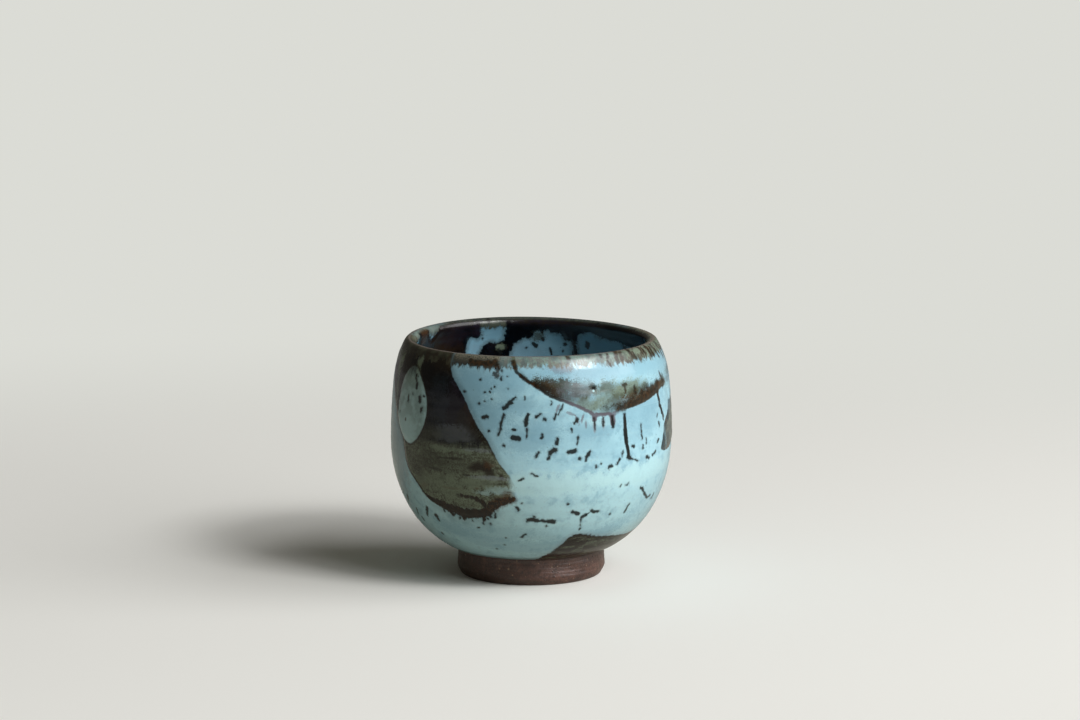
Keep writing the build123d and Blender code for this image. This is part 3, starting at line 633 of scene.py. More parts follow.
class Wiring:
    """Adds linked nodes to one node tree. Feeds are sockets or plain values."""

    def __init__(self, tree):
        self.tree = tree
        self.count = 0

    @classmethod
    def group(cls, name, inputs, outputs):
        """A new node group with its wiring, its inputs by name and its output node."""
        tree = bpy.data.node_groups.new(name, "ShaderNodeTree")
        for key, value in inputs.items():
            kind = "Float" if isinstance(value, (int, float)) else "Vector" if len(value) == 3 else "Color"
            tree.interface.new_socket(key, in_out="INPUT", socket_type="NodeSocket" + kind).default_value = value
        for key, kind in outputs.items():
            tree.interface.new_socket(key, in_out="OUTPUT", socket_type="NodeSocket" + kind)
        wiring = cls(tree)
        given = tree.nodes.new("NodeGroupInput").outputs
        return wiring, given, tree.nodes.new("NodeGroupOutput").inputs

    def feed(self, socket, value):
        if isinstance(value, bpy.types.NodeSocket):
            self.tree.links.new(value, socket)
        else:
            socket.default_value = value

    def node(self, kind, feeds=(), **settings):
        made = self.tree.nodes.new(kind)
        made.location = (200 * (self.count // 6), -200 * (self.count % 6))
        self.count += 1
        for name, value in settings.items():
            setattr(made, name, value)
        for key, value in feeds.items() if isinstance(feeds, dict) else enumerate(feeds):
            self.feed(made.inputs[key], value)
        return made

    def use(self, tree, **feeds):
        return self.node("ShaderNodeGroup", {k.replace("_", " "): v for k, v in feeds.items()}, node_tree=tree)

    def math(self, operation, *values):
        made = self.tree.nodes.new("ShaderNodeMath")
        made.operation = operation
        for socket, value in zip(made.inputs, values):
            self.feed(socket, value)
        return made.outputs[0]

    def vector(self, operation, *values):
        made = self.node("ShaderNodeVectorMath", values, operation=operation)
        return made.outputs[1 if operation in ("DOT_PRODUCT", "DISTANCE", "LENGTH") else 0]

    def mix(self, share, a, b):
        return self.node("ShaderNodeMix", {0: share, 6: a, 7: b}, data_type="RGBA").outputs[2]

    def step(self, value, low, high):
        """0 to 1 as the value goes from low to high, which may be the lesser."""
        settings = {"interpolation_type": "SMOOTHSTEP", "clamp": False}
        return self.node("ShaderNodeMapRange", (value, low, high), **settings).outputs[0]

    def both(self, a, b):
        return self.math("MULTIPLY", a, b)

    def noise(self, place, scale, detail=3.0, rough=0.55):
        feeds = {"Vector": place, "Scale": scale, "Detail": detail, "Roughness": rough}
        return self.node("ShaderNodeTexNoise", feeds).outputs[0]

    def points(self, Scale=(1.0, 1.0, 1.0), Rotation=(0.0, 0.0, 0.0)):
        """The surface's points in millimetres, stretched and turned."""
        spot = self.node("ShaderNodeTexCoord").outputs["Object"]
        scale = tuple(s / MM for s in Scale)
        return self.node("ShaderNodeMapping", {"Vector": spot, "Rotation": Rotation, "Scale": scale}).outputs[0]

    def read(self, name, output=2):
        return self.node("ShaderNodeAttribute", attribute_name=name).outputs[output]


def rgba(value):
    return (*value, 1.0)


def fleck_group():
    """Group that puts out the lesser of a given distance and that from one stroke."""
    stroke, given, give = Wiring.group(
        "Fleck", {"Place": (0, 0, 0), "Start": (0, 0, 0), "Run": (0, 0, 0), "Measure": (0, 0, 0), "Half width": 0.2,
                  "Nearest": 9.0}, {"Distance": "Float"})
    away = stroke.vector("SUBTRACT", given["Place"], given["Start"])
    share = stroke.math("MAXIMUM", stroke.vector("DOT_PRODUCT", away, given["Measure"]), 0.0)
    share = stroke.math("MINIMUM", share, 1.0)
    run = stroke.node("ShaderNodeVectorMath", {"Vector": given["Run"], "Scale": share}, operation="SCALE").outputs[0]
    on = stroke.vector("ADD", run, given["Start"])
    gap = stroke.math("SUBTRACT", stroke.vector("DISTANCE", given["Place"], on), given["Half width"])
    stroke.feed(give[0], stroke.math("MINIMUM", gap, given["Nearest"]))
    return stroke.tree


def fleck_field(name, flecks):
    """Group that puts out the distance from the nearest listed fleck, in millimetres."""
    stroke = bpy.data.node_groups.get("Fleck") or fleck_group()
    field, given, give = Wiring.group(name, {"Place": (0, 0, 0)}, {"Distance": "Float"})
    nearest = 9.0
    for corners, width in flecks:
        if len(corners) == 1:
            gap = field.vector("DISTANCE", given["Place"], tuple(corners[0]))
            gap = field.math("SUBTRACT", gap, width / 2)
            nearest = field.math("MINIMUM", gap, nearest)
            continue
        for start, end in zip(corners, corners[1:]):
            run = end - start
            nearest = field.use(stroke, Place=given["Place"], Start=tuple(start), Run=tuple(run),
                                Measure=tuple(run / (run @ run)), Half_width=width / 2, Nearest=nearest).outputs[0]
    field.feed(give[0], nearest)
    return field.tree


def scattered_specks():
    """Group that puts out a mask of small uneven specks, as where iron has come through the glaze."""
    w, given, give = Wiring.group("Scattered specks", {"Place": (0, 0, 0), "Scale": 0.4, "Share": 0.3, "Size": 0.2},
                                  {"Mask": "Float"})
    cells = w.node("ShaderNodeTexVoronoi", {"Vector": given["Place"], "Scale": given["Scale"]})
    parts = w.node("ShaderNodeSeparateColor", (cells.outputs["Color"],))
    size = w.math("MULTIPLY", given["Size"], w.math("MULTIPLY_ADD", parts.outputs[1], 0.8, 0.3))
    dot = w.step(cells.outputs["Distance"], size, w.math("MULTIPLY", size, 0.6))
    w.feed(give[0], w.both(dot, w.step(parts.outputs[0], given["Share"], w.math("SUBTRACT", given["Share"], 0.02))))
    return w.tree


def stain_group():
    """Group that puts out the mask of a soft-edged oval, used for stains and for patches of painted light."""
    w, given, give = Wiring.group("Stain and painted light", {"Place": (0, 0, 0), "Centre": (0, 0, 0), "Across": (0, 0, 0),
                                            "Up": (0, 0, 0), "Out": (0, 0, 0), "Ragged": 0.0}, {"Mask": "Float"})
    away = w.vector("SUBTRACT", given["Place"], given["Centre"])
    spread = 0.0
    for key in ("Across", "Up", "Out"):
        part = w.vector("DOT_PRODUCT", away, given[key])
        spread = w.math("MULTIPLY_ADD", part, part, spread)
    spread = w.math("SQRT", spread)
    w.feed(give[0], w.step(w.math("ADD", spread, given["Ragged"]), 1.35, 0.65))
    return w.tree


def stained_and_painted_light(w, colour, layer, skin, place, ragged, colours):
    """The colour with a layer's stains and patches of painted light over it."""
    group = bpy.data.node_groups.get("Stain and painted light") or stain_group()
    for bearing, height, across, up, lean, name, strength in STAINS_AND_PAINTED_LIGHT[layer]:
        from_lip = float(skin.from_lip(height, layer == "inside"))
        centre = skin.place(bearing, from_lip, thrown=False)
        rise = skin.place(bearing, from_lip - 0.5, thrown=False) - skin.place(bearing, from_lip + 0.5, thrown=False)
        turn, tilt = math.radians(bearing), math.radians(lean)
        level = np.array([math.cos(turn), math.sin(turn), 0.0])
        one = level * math.cos(tilt) + rise * math.sin(tilt)
        two = rise * math.cos(tilt) - level * math.sin(tilt)
        mask = w.use(group, Place=place, Centre=tuple(centre), Across=tuple(one / across), Up=tuple(two / up),
                     Out=tuple(np.cross(level, rise) / 12.0), Ragged=ragged).outputs[0]
        colour = w.mix(w.both(mask, strength), colour, colours[name])
    return colour


def fired_glaze(skin):
    """Group with the whole fired surface: base glaze, pours, splash, broken rim, flecks and the bare line at the foot,
    with painted shade inside the cup and a few painted highlights and sheens.
    """
    black = (0.0, 0.0, 0.0, 1.0)
    names = ["Pale", "Blue", "Milk", "Deep", "Iron", "Plum", "Bark", "Olive", "Moss", "Rust", "Lilac", "Blush", "Tan",
             "Ink", "Clay"]
    w, c, give = Wiring.group("Fired glaze", dict.fromkeys(names, black),
                              {"Color": "Color", "Roughness": "Float", "Height": "Float"})
    place = w.read("base_place", 1)
    xyz = w.node("ShaderNodeSeparateColor", (w.read("base_place", 0),)).outputs
    bearing = w.math("MULTIPLY", w.math("ARCTAN2", xyz[0], w.math("MULTIPLY", xyz[1], -1.0)), math.degrees(1))
    height = xyz[2]
    lip = w.read("from_lip")
    # noises read points, and no node clamps or converts a value, because Cycles puts off all that
    # waits for a clamp or a conversion, and its stack fills up with what is waiting
    spot = w.points()
    clouds = w.noise(spot, 0.075)
    mottle = w.noise(spot, 0.42, 4.0)
    grain = w.noise(spot, 1.3, 4.0, 0.65)
    crumb = w.noise(spot, 3.4, 3.0, 0.7)
    upright = w.noise(w.points(Scale=(1.0, 1.0, 0.12)), 1.15, 4.0, 0.6)
    level = w.noise(w.points(Scale=(0.16, 0.16, 1.0)), 0.8, 4.0, 0.6)
    ragged = w.math("MULTIPLY_ADD", grain, 2.4, -1.2)
    hanging = w.math("MULTIPLY_ADD", upright, 5.0, -2.5)
    fray = w.math("MULTIPLY_ADD", crumb, 2.2, w.math("MULTIPLY_ADD", mottle, 2.0, -2.1))

    # base glaze: pale turquoise, bluer in clouds at mid height, milky low on the belly
    drift = w.math("MULTIPLY_ADD", mottle, 12.0, w.math("SUBTRACT", height, 6.0))
    colour = w.mix(w.both(w.step(drift, 33.0, 20.0), 0.6), c["Pale"], c["Milk"])
    colour = w.mix(w.both(w.both(w.step(clouds, 0.42, 0.62), w.step(drift, 26.0, 38.0)), 0.4), colour, c["Blue"])
    colour = w.mix(w.both(w.step(mottle, 0.48, 0.70), 0.45), colour, c["Blue"])
    colour = w.mix(w.both(w.step(level, 0.52, 0.72), 0.28), colour, c["Milk"])
    colour = w.mix(w.both(w.step(grain, 0.52, 0.74), 0.20), colour, c["Lilac"])
    colour = w.mix(w.both(w.step(crumb, 0.56, 0.72), 0.12), colour, c["Blue"])
    colour = w.mix(w.both(w.step(height, 47.0, 52.0), 0.45), colour, c["Blue"])
    colour = stained_and_painted_light(w, colour, "base", skin, place, w.both(fray, 0.9), c)
    # painted shade inside the cup: the base glaze darkens below the lip, most of all under the lip at the right
    shade = w.both(w.step(bearing, 168.0, 142.0), w.step(bearing, -60.0, 0.0))
    colour = w.mix(w.both(w.step(lip, -0.6, -3.0), w.math("MULTIPLY_ADD", shade, 0.3, 0.65)), colour, c["Deep"])

    # mottled olive patch above the foot, with a dark upper edge
    patch = w.math("ADD", w.read("foot_patch"), w.both(ragged, 0.7))
    slant = w.noise(w.points(Scale=(0.3, 0.3, 1.0), Rotation=(0.0, 0.4, 0.0)), 0.95, 4.0, 0.6)
    mottled = w.mix(w.step(slant, 0.45, 0.56), c["Bark"], w.mix(0.62, c["Moss"], c["Olive"]))
    mottled = w.mix(w.both(w.step(crumb, 0.44, 0.58), 0.6), mottled, c["Bark"])
    colour = w.mix(w.both(w.step(patch, 1.6, 0.0), 0.3), colour, c["Lilac"])
    colour = w.mix(w.step(patch, 0.35, -0.25), colour, w.mix(w.both(w.step(patch, -1.5, -0.5), 0.85), mottled, c["Bark"]))

    # swag under the lip at the right
    swag = w.read("right_pour")
    rough_edge = w.math("MULTIPLY_ADD", w.step(bearing, 80.0, 92.0), 0.35, 0.25)
    depth = w.math("MULTIPLY", w.math("MULTIPLY_ADD", ragged, rough_edge, swag), -1.0)
    inside = w.step(depth, -0.15, 0.15)
    body = stained_and_painted_light(w, colour, "swag", skin, place, fray, c)
    speckled = w.both(w.step(height, 50.0, 47.0), w.step(bearing, 84.0, 72.0))
    body = w.mix(w.both(w.both(w.step(crumb, 0.48, 0.60), speckled), 0.5), body, c["Olive"])
    thick = w.math("MULTIPLY_ADD", w.step(bearing, 38.0, 50.0), 2.0, 0.5)
    rust = w.step(w.math("SUBTRACT", w.math("MULTIPLY_ADD", hanging, 1.1, depth), thick), 0.7, -0.5)
    rust = w.both(w.both(rust, w.step(height, 41.6, 42.6)), w.both(w.step(bearing, 31.0, 38.0), w.step(bearing, 76.0, 66.0)))
    tone = w.mix(w.step(upright, 0.44, 0.56), c["Bark"], c["Rust"])
    body = w.mix(w.both(rust, 0.9), body, w.mix(w.both(w.step(crumb, 0.48, 0.58), 0.75), tone, c["Olive"]))
    lobe = w.step(w.math("ADD", bearing, w.both(height, 0.4)), 82.5, 85.5)
    climb = w.math("MULTIPLY_ADD", bearing, -0.26, w.math("MULTIPLY_ADD", hanging, 0.8, w.both(mottle, 5.0)))
    lobe = w.both(lobe, w.step(w.math("ADD", height, climb), 25.0, 20.5))
    runs = w.both(w.step(height, 41.9, 41.3), w.math("SUBTRACT", 1.0, lobe))
    dusk = w.mix(w.both(w.step(level, 0.46, 0.60), 0.7), w.mix(w.step(grain, 0.4, 0.62), c["Bark"], w.mix(0.5, c["Olive"], c["Tan"])), c["Bark"])
    dusk = w.mix(w.both(w.step(mottle, 0.46, 0.62), 0.75), dusk, c["Moss"])
    dusk = w.mix(w.both(w.step(upright, 0.52, 0.66), 0.5), dusk, c["Plum"])
    edged = w.step(w.math("MULTIPLY_ADD", hanging, 0.5, depth), 2.4, 0.8)
    dusk = w.mix(w.both(edged, 0.85), dusk, w.mix(w.step(upright, 0.42, 0.58), c["Bark"], c["Rust"]))
    body = w.mix(w.both(lobe, 0.9), body, dusk)
    body = w.mix(w.both(runs, 0.9), body, w.mix(0.5, c["Ink"], c["Bark"]))
    colour = w.mix(inside, colour, body)
    line = w.step(w.math("ABSOLUTE", w.math("SUBTRACT", depth, 0.16)), 0.54, 0.22)
    tone = w.mix(w.step(bearing, 10.0, 18.0), c["Bark"], w.mix(0.25, c["Blush"], c["Plum"]))
    seen = w.math("MAXIMUM", w.step(bearing, 40.0, 34.0), w.both(w.step(bearing, 78.0, 88.0), 0.7))
    colour = w.mix(w.both(w.both(line, seen), 0.9), colour, tone)

    # left pour: black over olive, with a dark hem
    pour = w.math("MULTIPLY_ADD", ragged, 0.22, w.read("left_pour"))
    covered = w.step(pour, 0.2, -0.2)
    soft = w.both(w.step(bearing, -11.0, -7.0), w.step(height, 29.0, 27.0))
    wide = w.math("SUBTRACT", w.step(pour, 0.2, -1.6), covered)
    covered = w.math("MULTIPLY_ADD", wide, w.both(soft, 0.6), covered)
    fall = w.math("ADD", height, w.math("ADD", w.math("MULTIPLY_ADD", level, 4.0, -2.0), w.both(hanging, 0.5)))
    dark = stained_and_painted_light(w, c["Iron"], "wedge", skin, place, fray, c)
    dark = w.mix(w.both(w.step(crumb, 0.54, 0.70), 0.5), dark, c["Plum"])
    dark = w.mix(w.both(w.step(crumb, 0.50, 0.68), w.step(fall, 44.0, 35.0)), dark, w.mix(0.3, dark, c["Moss"]))
    streaks = w.step(w.math("ADD", w.both(level, 0.6), w.both(mottle, 0.4)), 0.40, 0.60)
    mossy = w.mix(w.math("MULTIPLY_ADD", streaks, 0.6, w.math("MULTIPLY_ADD", w.step(fall, 34.0, 22.0), 0.45, 0.18)), c["Olive"], c["Moss"])
    mossy = w.mix(w.both(w.step(w.both(w.math("ADD", grain, mottle), 0.5), 0.50, 0.57), 0.62), mossy, w.mix(0.5, c["Bark"], c["Olive"]))
    mossy = w.mix(w.both(w.step(crumb, 0.50, 0.58), 0.6), mossy, w.mix(0.25, c["Bark"], c["Rust"]))
    mossy = w.mix(w.both(w.step(crumb, 0.45, 0.37), 0.6), mossy, c["Moss"])
    mossy = stained_and_painted_light(w, mossy, "moss", skin, place, w.both(fray, 1.3), c)
    dark = w.mix(w.step(fall, 36.0, 34.0), dark, mossy)
    colour = w.mix(covered, colour, dark)
    hem = w.math("ADD", w.read("left_hem"), w.math("ADD", w.both(ragged, 0.5), w.both(hanging, -0.32)))
    rusty = w.step(w.math("ADD", bearing, w.both(ragged, 9.0)), -21.0, -11.0)
    brown = w.mix(w.both(rusty, w.step(grain, 0.40, 0.62)), c["Bark"], c["Rust"])
    brown = w.mix(w.both(w.step(crumb, 0.46, 0.60), 0.8), brown, w.mix(0.6, c["Iron"], c["Bark"]))
    brown = w.mix(w.both(w.step(upright, 0.46, 0.62), 0.16), brown, c["Rust"])
    # darker and bluer for a little way under the hem
    darker_under_hem = w.both(w.step(hem, 2.6, 0.2), w.step(height, 21.0, 19.0))
    colour = w.mix(w.both(darker_under_hem, 0.4), colour, w.mix(0.4, c["Blue"], c["Bark"]))
    colour = w.mix(w.both(w.step(hem, 0.9, 0.1), w.both(rusty, 0.45)), colour, c["Rust"])
    colour = w.mix(w.step(hem, 0.3, -0.2), colour, brown)
    edge = w.both(w.step(w.math("ABSOLUTE", w.math("ADD", pour, 0.25)), 0.6, 0.1),
                  w.step(bearing, -46.0, -50.0))
    colour = w.mix(w.both(edge, 0.8), colour, c["Bark"])
    # its veil spreads a little way over the base glaze
    veil = w.both(w.math("SUBTRACT", w.step(pour, 1.7, 0.0), covered), w.step(height, 28.0, 34.0))
    colour = w.mix(w.both(veil, 0.35), colour, c["Plum"])

    # splash on the left pour, with a dark pooled edge, and veils above it
    colour = stained_and_painted_light(w, colour, "above", skin, place, fray, c)
    splash = w.math("MULTIPLY_ADD", ragged, 0.15, w.read("splash"))
    colour = w.mix(w.both(w.step(w.math("ABSOLUTE", w.math("SUBTRACT", splash, 0.2)), 0.5, 0.1), 0.7), colour, c["Bark"])
    body = w.mix(w.both(w.step(mottle, 0.4, 0.62), 0.5), w.mix(0.55, c["Pale"], c["Moss"]), c["Milk"])
    body = w.mix(w.both(w.step(height, 44.0, 49.0), 0.45), body, c["Moss"])
    body = w.mix(w.both(w.step(height, 43.0, 35.5), w.step(bearing, -50.0, -60.0)), body, w.mix(0.9, body, c["Milk"]))
    top = w.step(w.math("ADD", height, hanging), 51.0, 48.0)
    colour = w.mix(w.both(w.step(splash, 0.2, -0.25), w.math("MULTIPLY_ADD", top, 0.75, 0.2)), colour, body)

    # glaze broken to olive, tan and rust over the lip
    out = w.math("ABSOLUTE", lip)
    wedge = w.both(w.step(bearing, -34.5, -38.0), w.step(bearing, -92.0, -80.0))
    rusty = w.both(w.step(bearing, -38.5, -36.0), w.step(bearing, -8.0, -15.0))
    strong = w.both(w.step(bearing, 26.0, 44.0), w.step(bearing, 150.0, 120.0))
    back = w.step(w.math("ABSOLUTE", bearing), 112.0, 136.0)
    run = w.math("MULTIPLY_ADD", upright, 5.0, w.math("MULTIPLY_ADD", w.math("MAXIMUM", rusty, strong), 0.5, 0.6))
    broken = w.step(w.math("SUBTRACT", out, run), 0.6, -0.5)
    streak = w.step(w.math("ADD", upright, w.math("MULTIPLY_ADD", grain, 0.3, -0.15)), 0.44, 0.56)
    tone = w.mix(streak, c["Moss"], c["Tan"])
    tone = w.mix(w.both(w.step(crumb, 0.48, 0.62), 0.4), tone, c["Olive"])
    tone = w.mix(w.both(w.step(mottle, 0.47, 0.60), 0.45), tone, c["Bark"])
    tone = w.mix(w.both(streak, w.math("MULTIPLY_ADD", strong, 0.3, 0.25)), tone, c["Bark"])
    low = w.mix(w.math("MULTIPLY_ADD", streak, 0.25, 0.0), c["Bark"], c["Rust"])
    low = w.mix(w.both(w.step(crumb, 0.46, 0.56), 0.5), low, c["Olive"])
    low = w.mix(w.step(out, 0.9, 2.9), w.mix(w.both(w.step(crumb, 0.42, 0.60), 0.9), c["Tan"], c["Bark"]), low)
    tone = w.mix(rusty, tone, low)
    tone = w.mix(w.both(wedge, 0.9), tone, w.mix(w.step(mottle, 0.45, 0.62), c["Bark"], c["Olive"]))
    tone = w.mix(w.both(back, 0.85), tone, w.mix(streak, c["Bark"], c["Olive"]))
    crown = w.mix(w.both(w.step(bearing, 40.0, 80.0), w.step(bearing, 130.0, 100.0)), w.mix(0.35, c["Olive"], c["Tan"]), c["Tan"])
    crown = w.mix(w.math("MAXIMUM", w.both(wedge, 0.8), back), crown, w.mix(0.8, c["Olive"], c["Bark"]))
    tone = w.mix(w.both(w.step(out, 0.9, 0.3), 0.75), tone, crown)
    strength = w.math("MAXIMUM", w.math("MAXIMUM", rusty, wedge), w.math("MAXIMUM", w.math("MAXIMUM", strong, back), 0.86))
    colour = w.mix(w.both(broken, w.both(strength, 0.95)), colour, tone)
    # pale line along the crown: the glaze breaking over the crest, with a painted highlight on it, strongest at the
    # front
    crest_break_and_highlight = w.step(w.math("ABSOLUTE", w.math("SUBTRACT", lip, w.math("MULTIPLY_ADD", ragged, 0.12, 0.12))), 0.36, 0.10)
    colour = w.mix(w.both(crest_break_and_highlight, w.math("MULTIPLY_ADD", back, -0.75, 0.85)), colour, w.mix(0.5, c["Blush"], c["Tan"]))

    # dark pour inside
    inner = w.math("ADD", w.math("MULTIPLY_ADD", ragged, 0.8, w.read("inner_pour")), w.both(hanging, -0.12))
    under = w.step(inner, 0.25, -0.25)
    dark = w.mix(w.step(clouds, 0.42, 0.58), c["Iron"], w.mix(w.step(grain, 0.44, 0.60), c["Plum"], c["Bark"]))
    halo = w.both(w.step(inner, 1.2, 0.1), w.step(lip, -0.6, -1.6))
    colour = w.mix(w.both(halo, 0.45), colour, c["Olive"])
    colour = w.mix(w.both(under, w.step(lip, -0.5, -1.7)), colour, dark)
    colour = w.mix(w.step(lip, -0.3, -0.8), colour, stained_and_painted_light(w, colour, "inside", skin, place, fray, c))

    # flecks, with thin brown halos
    warp = w.node("ShaderNodeTexNoise", {"Vector": spot, "Scale": 0.9, "Detail": 3.0}).outputs[1]
    warp = w.node("ShaderNodeSeparateColor", (warp,)).outputs
    warp = w.vector("SUBTRACT", w.node("ShaderNodeCombineXYZ", warp[:3]).outputs[0], (0.5, 0.5, 0.5))
    warped = w.vector("MULTIPLY_ADD", warp, (0.9, 0.9, 0.9), place)
    streaks = fleck_field("Streak field", [run_corners(skin, run) for run in STREAKS])
    gap = w.math("ADD", w.use(streaks, Place=warped).outputs[0], w.math("MULTIPLY_ADD", crumb, 0.9, -0.5))
    tone = w.mix(w.step(grain, 0.44, 0.60), c["Bark"], w.mix(0.5, c["Bark"], c["Rust"]))
    colour = w.mix(w.both(w.step(gap, 0.35, -0.15), 0.85), colour, tone)
    flecks = [run_corners(skin, run) for run in FLECKS] + [run_corners(skin, run, True) for run in INNER_FLECKS]
    fleck = w.use(fleck_field("Fleck field", flecks), Place=warped).outputs[0]
    fleck = w.math("ADD", fleck, w.math("MULTIPLY_ADD", grain, 0.8, w.math("MULTIPLY_ADD", crumb, 0.15, -0.50)))
    specks = scattered_specks()
    away = w.step(w.math("ABSOLUTE", bearing), 78.0, 96.0)
    lean = w.vector("MULTIPLY", warped, (1.0, 1.0, 0.55))
    spread = w.use(specks, Place=lean, Scale=0.36, Share=w.both(away, w.step(clouds, 0.36, 0.56)), Size=0.26).outputs[0]
    tiny = w.use(specks, Place=warped, Scale=0.85, Share=0.25, Size=0.15).outputs[0]
    colour = w.mix(w.both(w.step(fleck, 0.42, 0.0), w.math("MULTIPLY_ADD", mottle, 0.8, -0.05)), colour, c["Bark"])
    colour = w.mix(w.both(tiny, 0.4), colour, c["Olive"])
    ink = w.math("MAXIMUM", w.step(fleck, 0.12, -0.12), spread)
    colour = w.mix(w.both(ink, 0.96), colour, w.mix(w.both(w.step(mottle, 0.5, 0.62), 0.5), c["Ink"], c["Bark"]))

    # pinhole in the swag, painted dark for the shade in the hole, with a painted highlight, a pale glint, under it
    at = skin.place(PINHOLE[0], skin.from_lip(PINHOLE[1]), thrown=False)
    hole = w.vector("DISTANCE", place, tuple(at))
    colour = w.mix(w.step(hole, 0.5, 0.3), colour, c["Ink"])
    colour = w.mix(w.step(w.vector("DISTANCE", place, tuple(at - [0, 0, 0.62])), 0.4, 0.15), colour, c["Milk"])

    # the glaze stops just short of the foot
    rolled = w.both(w.step(height, 7.6, 6.8), 0.5)
    colour = w.mix(rolled, colour, c["Olive"])
    bare = w.step(w.math("ADD", height, w.both(ragged, 0.12)), 6.75, 6.4)
    colour = w.mix(bare, colour, c["Clay"])

    w.feed(give["Color"], colour)
    rough = w.math("MULTIPLY_ADD", mottle, 0.10, 0.10)
    rough = w.math("MULTIPLY_ADD", rust, 0.16, rough)
    rough = w.math("MULTIPLY_ADD", covered, 0.06, rough)
    rough = w.math("MULTIPLY_ADD", broken, 0.10, rough)
    rough = w.math("MULTIPLY_ADD", ink, 0.14, rough)
    w.feed(give["Roughness"], w.math("MULTIPLY_ADD", bare, 0.5, rough))
    lift = w.math("MULTIPLY_ADD", crumb, 0.018, w.math("MULTIPLY", mottle, 0.10))
    w.feed(give["Height"], w.math("MULTIPLY_ADD", w.step(hole, 0.75, 0.2), -0.4, lift))
    return w.tree


def glaze_material(name):
    """A glossy glaze over the shared fired surface."""
    made = bpy.data.materials.get(name)
    if made:
        return made
    scene = bpy.context.scene
    group = bpy.data.node_groups.get("Fired glaze") or fired_glaze(Skin(in_millimetres(scene.cup_sizes)))
    made = bpy.data.materials.new(name)
    made.use_nodes = True
    w = Wiring(made.node_tree)
    shader = made.node_tree.nodes["Principled BSDF"]
    colours = scene.cup_colours
    feeds = {item.name: rgba(getattr(colours, item.name.lower())) for item in group.interface.items_tree
             if item.in_out == "INPUT"}
    surface = w.node("ShaderNodeGroup", node_tree=group)
    for key, value in feeds.items():
        surface.inputs[key].default_value = value
    w.feed(shader.inputs["Base Color"], surface.outputs["Color"])
    w.feed(shader.inputs["Roughness"], surface.outputs["Roughness"])
    bump = w.node("ShaderNodeBump", {"Height": surface.outputs["Height"], "Distance": MM, "Strength": 0.8})
    w.feed(shader.inputs["Normal"], bump.outputs[0])
    shader.inputs["IOR"].default_value = 1.52
    shader.inputs["Specular IOR Level"].default_value = 0.4
    return made


def clay_material():
    """Bare iron-bearing stoneware: turned, pitted with painted shade in its pits, and blushed with rust."""
    made = bpy.data.materials.new("bare_stoneware")
    made.use_nodes = True
    w = Wiring(made.node_tree)
    shader = made.node_tree.nodes["Principled BSDF"]
    colours = bpy.context.scene.cup_colours
    place = w.read("base_place", 1)
    clouds = w.noise(place, 0.16)
    grain = w.noise(place, 0.9, 5.0, 0.7)
    fine = w.noise(place, 4.0, 3.0)
    rings = w.noise(w.vector("MULTIPLY", place, (0.08, 0.08, 1.0)), 2.2, 3.0)
    clay = w.mix(w.step(clouds, 0.40, 0.62), rgba(colours.clay), rgba(colours.clay_rust))
    clay = w.mix(w.both(w.step(grain, 0.46, 0.58), 0.8), clay, w.mix(0.5, rgba(colours.clay), (0.020, 0.011, 0.010, 1.0)))
    clay = w.mix(w.both(w.step(rings, 0.55, 0.7), 0.25), clay, rgba(colours.clay_rust))
    clay = w.mix(w.both(w.step(fine, 0.50, 0.66), 0.5), clay, (0.022, 0.013, 0.012, 1.0))
    clay = w.mix(w.both(w.step(fine, 0.46, 0.36), 0.7), clay, rgba(colours.clay_rust))
    specks = bpy.data.node_groups.get("Scattered specks") or scattered_specks()
    shaded_pits = w.use(specks, Place=place, Scale=1.0, Share=0.35, Size=0.26).outputs[0]
    grog = w.use(specks, Place=w.vector("ADD", place, (7.3, 2.1, 4.4)), Scale=1.0, Share=0.40, Size=0.26).outputs[0]
    # painted shade: the pits are painted nearly black, besides their dent in the bump
    clay = w.mix(w.both(shaded_pits, 0.85), clay, (0.012, 0.007, 0.006, 1.0))
    clay = w.mix(w.both(grog, 0.85), clay, (0.34, 0.21, 0.13, 1.0))
    w.feed(shader.inputs["Base Color"], clay)
    w.feed(shader.inputs["Roughness"], w.math("MULTIPLY_ADD", grain, 0.4, 0.16))
    shader.inputs["Specular IOR Level"].default_value = 1.0
    lift = w.math("MULTIPLY_ADD", fine, 0.08, w.math("MULTIPLY", rings, 0.06))
    lift = w.math("MULTIPLY_ADD", grain, 0.12, lift)
    lift = w.math("MULTIPLY_ADD", shaded_pits, -0.14, lift)
    lift = w.math("MULTIPLY_ADD", grog, 0.07, lift)
    bump = w.node("ShaderNodeBump", {"Height": lift, "Distance": MM, "Strength": 0.9})
    w.feed(shader.inputs["Normal"], bump.outputs[0])
    return made


def settle(piece, slot, *nodes):
    """The piece rides on the cup and stands for its CAD nodes, which it hides; its slot is not used."""
    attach(piece, "root")
    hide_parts(*nodes)


class CUP_OT_bowl(bpy.types.Operator):
    """Build the thrown bowl under its pale base glaze"""

    bl_idname = "cup.bowl"
    bl_label = "Bowl"

    def execute(self, context):
        skin = Skin(in_millimetres(context.scene.cup_sizes))
        columns = round(2 * math.pi * skin.mm.widest_radius / skin.mm.skin_spacing)
        lips = (skin.crown - skin.along)[1:-1]
        turns = np.arange(columns) * 360.0 / columns
        from_lip, bearing = np.meshgrid(lips, turns, indexing="ij")
        ends = (skin.crown - skin.along)[[0, -1]]
        bearing = np.concatenate([[0.0], bearing.ravel(), [0.0]])
        from_lip = np.concatenate([ends[:1], from_lip.ravel(), ends[1:]])
        bearing = (bearing + 180) % 360 - 180
        values = Pattern(skin).values(bearing, from_lip)
        piece = make_object("glazed_bowl", skin.place(bearing, from_lip), revolved(len(lips), columns), values,
                            glaze_material("fired_pale_glaze"))
        settle(piece, "pale_glaze", "bowl")
        return {"FINISHED"}


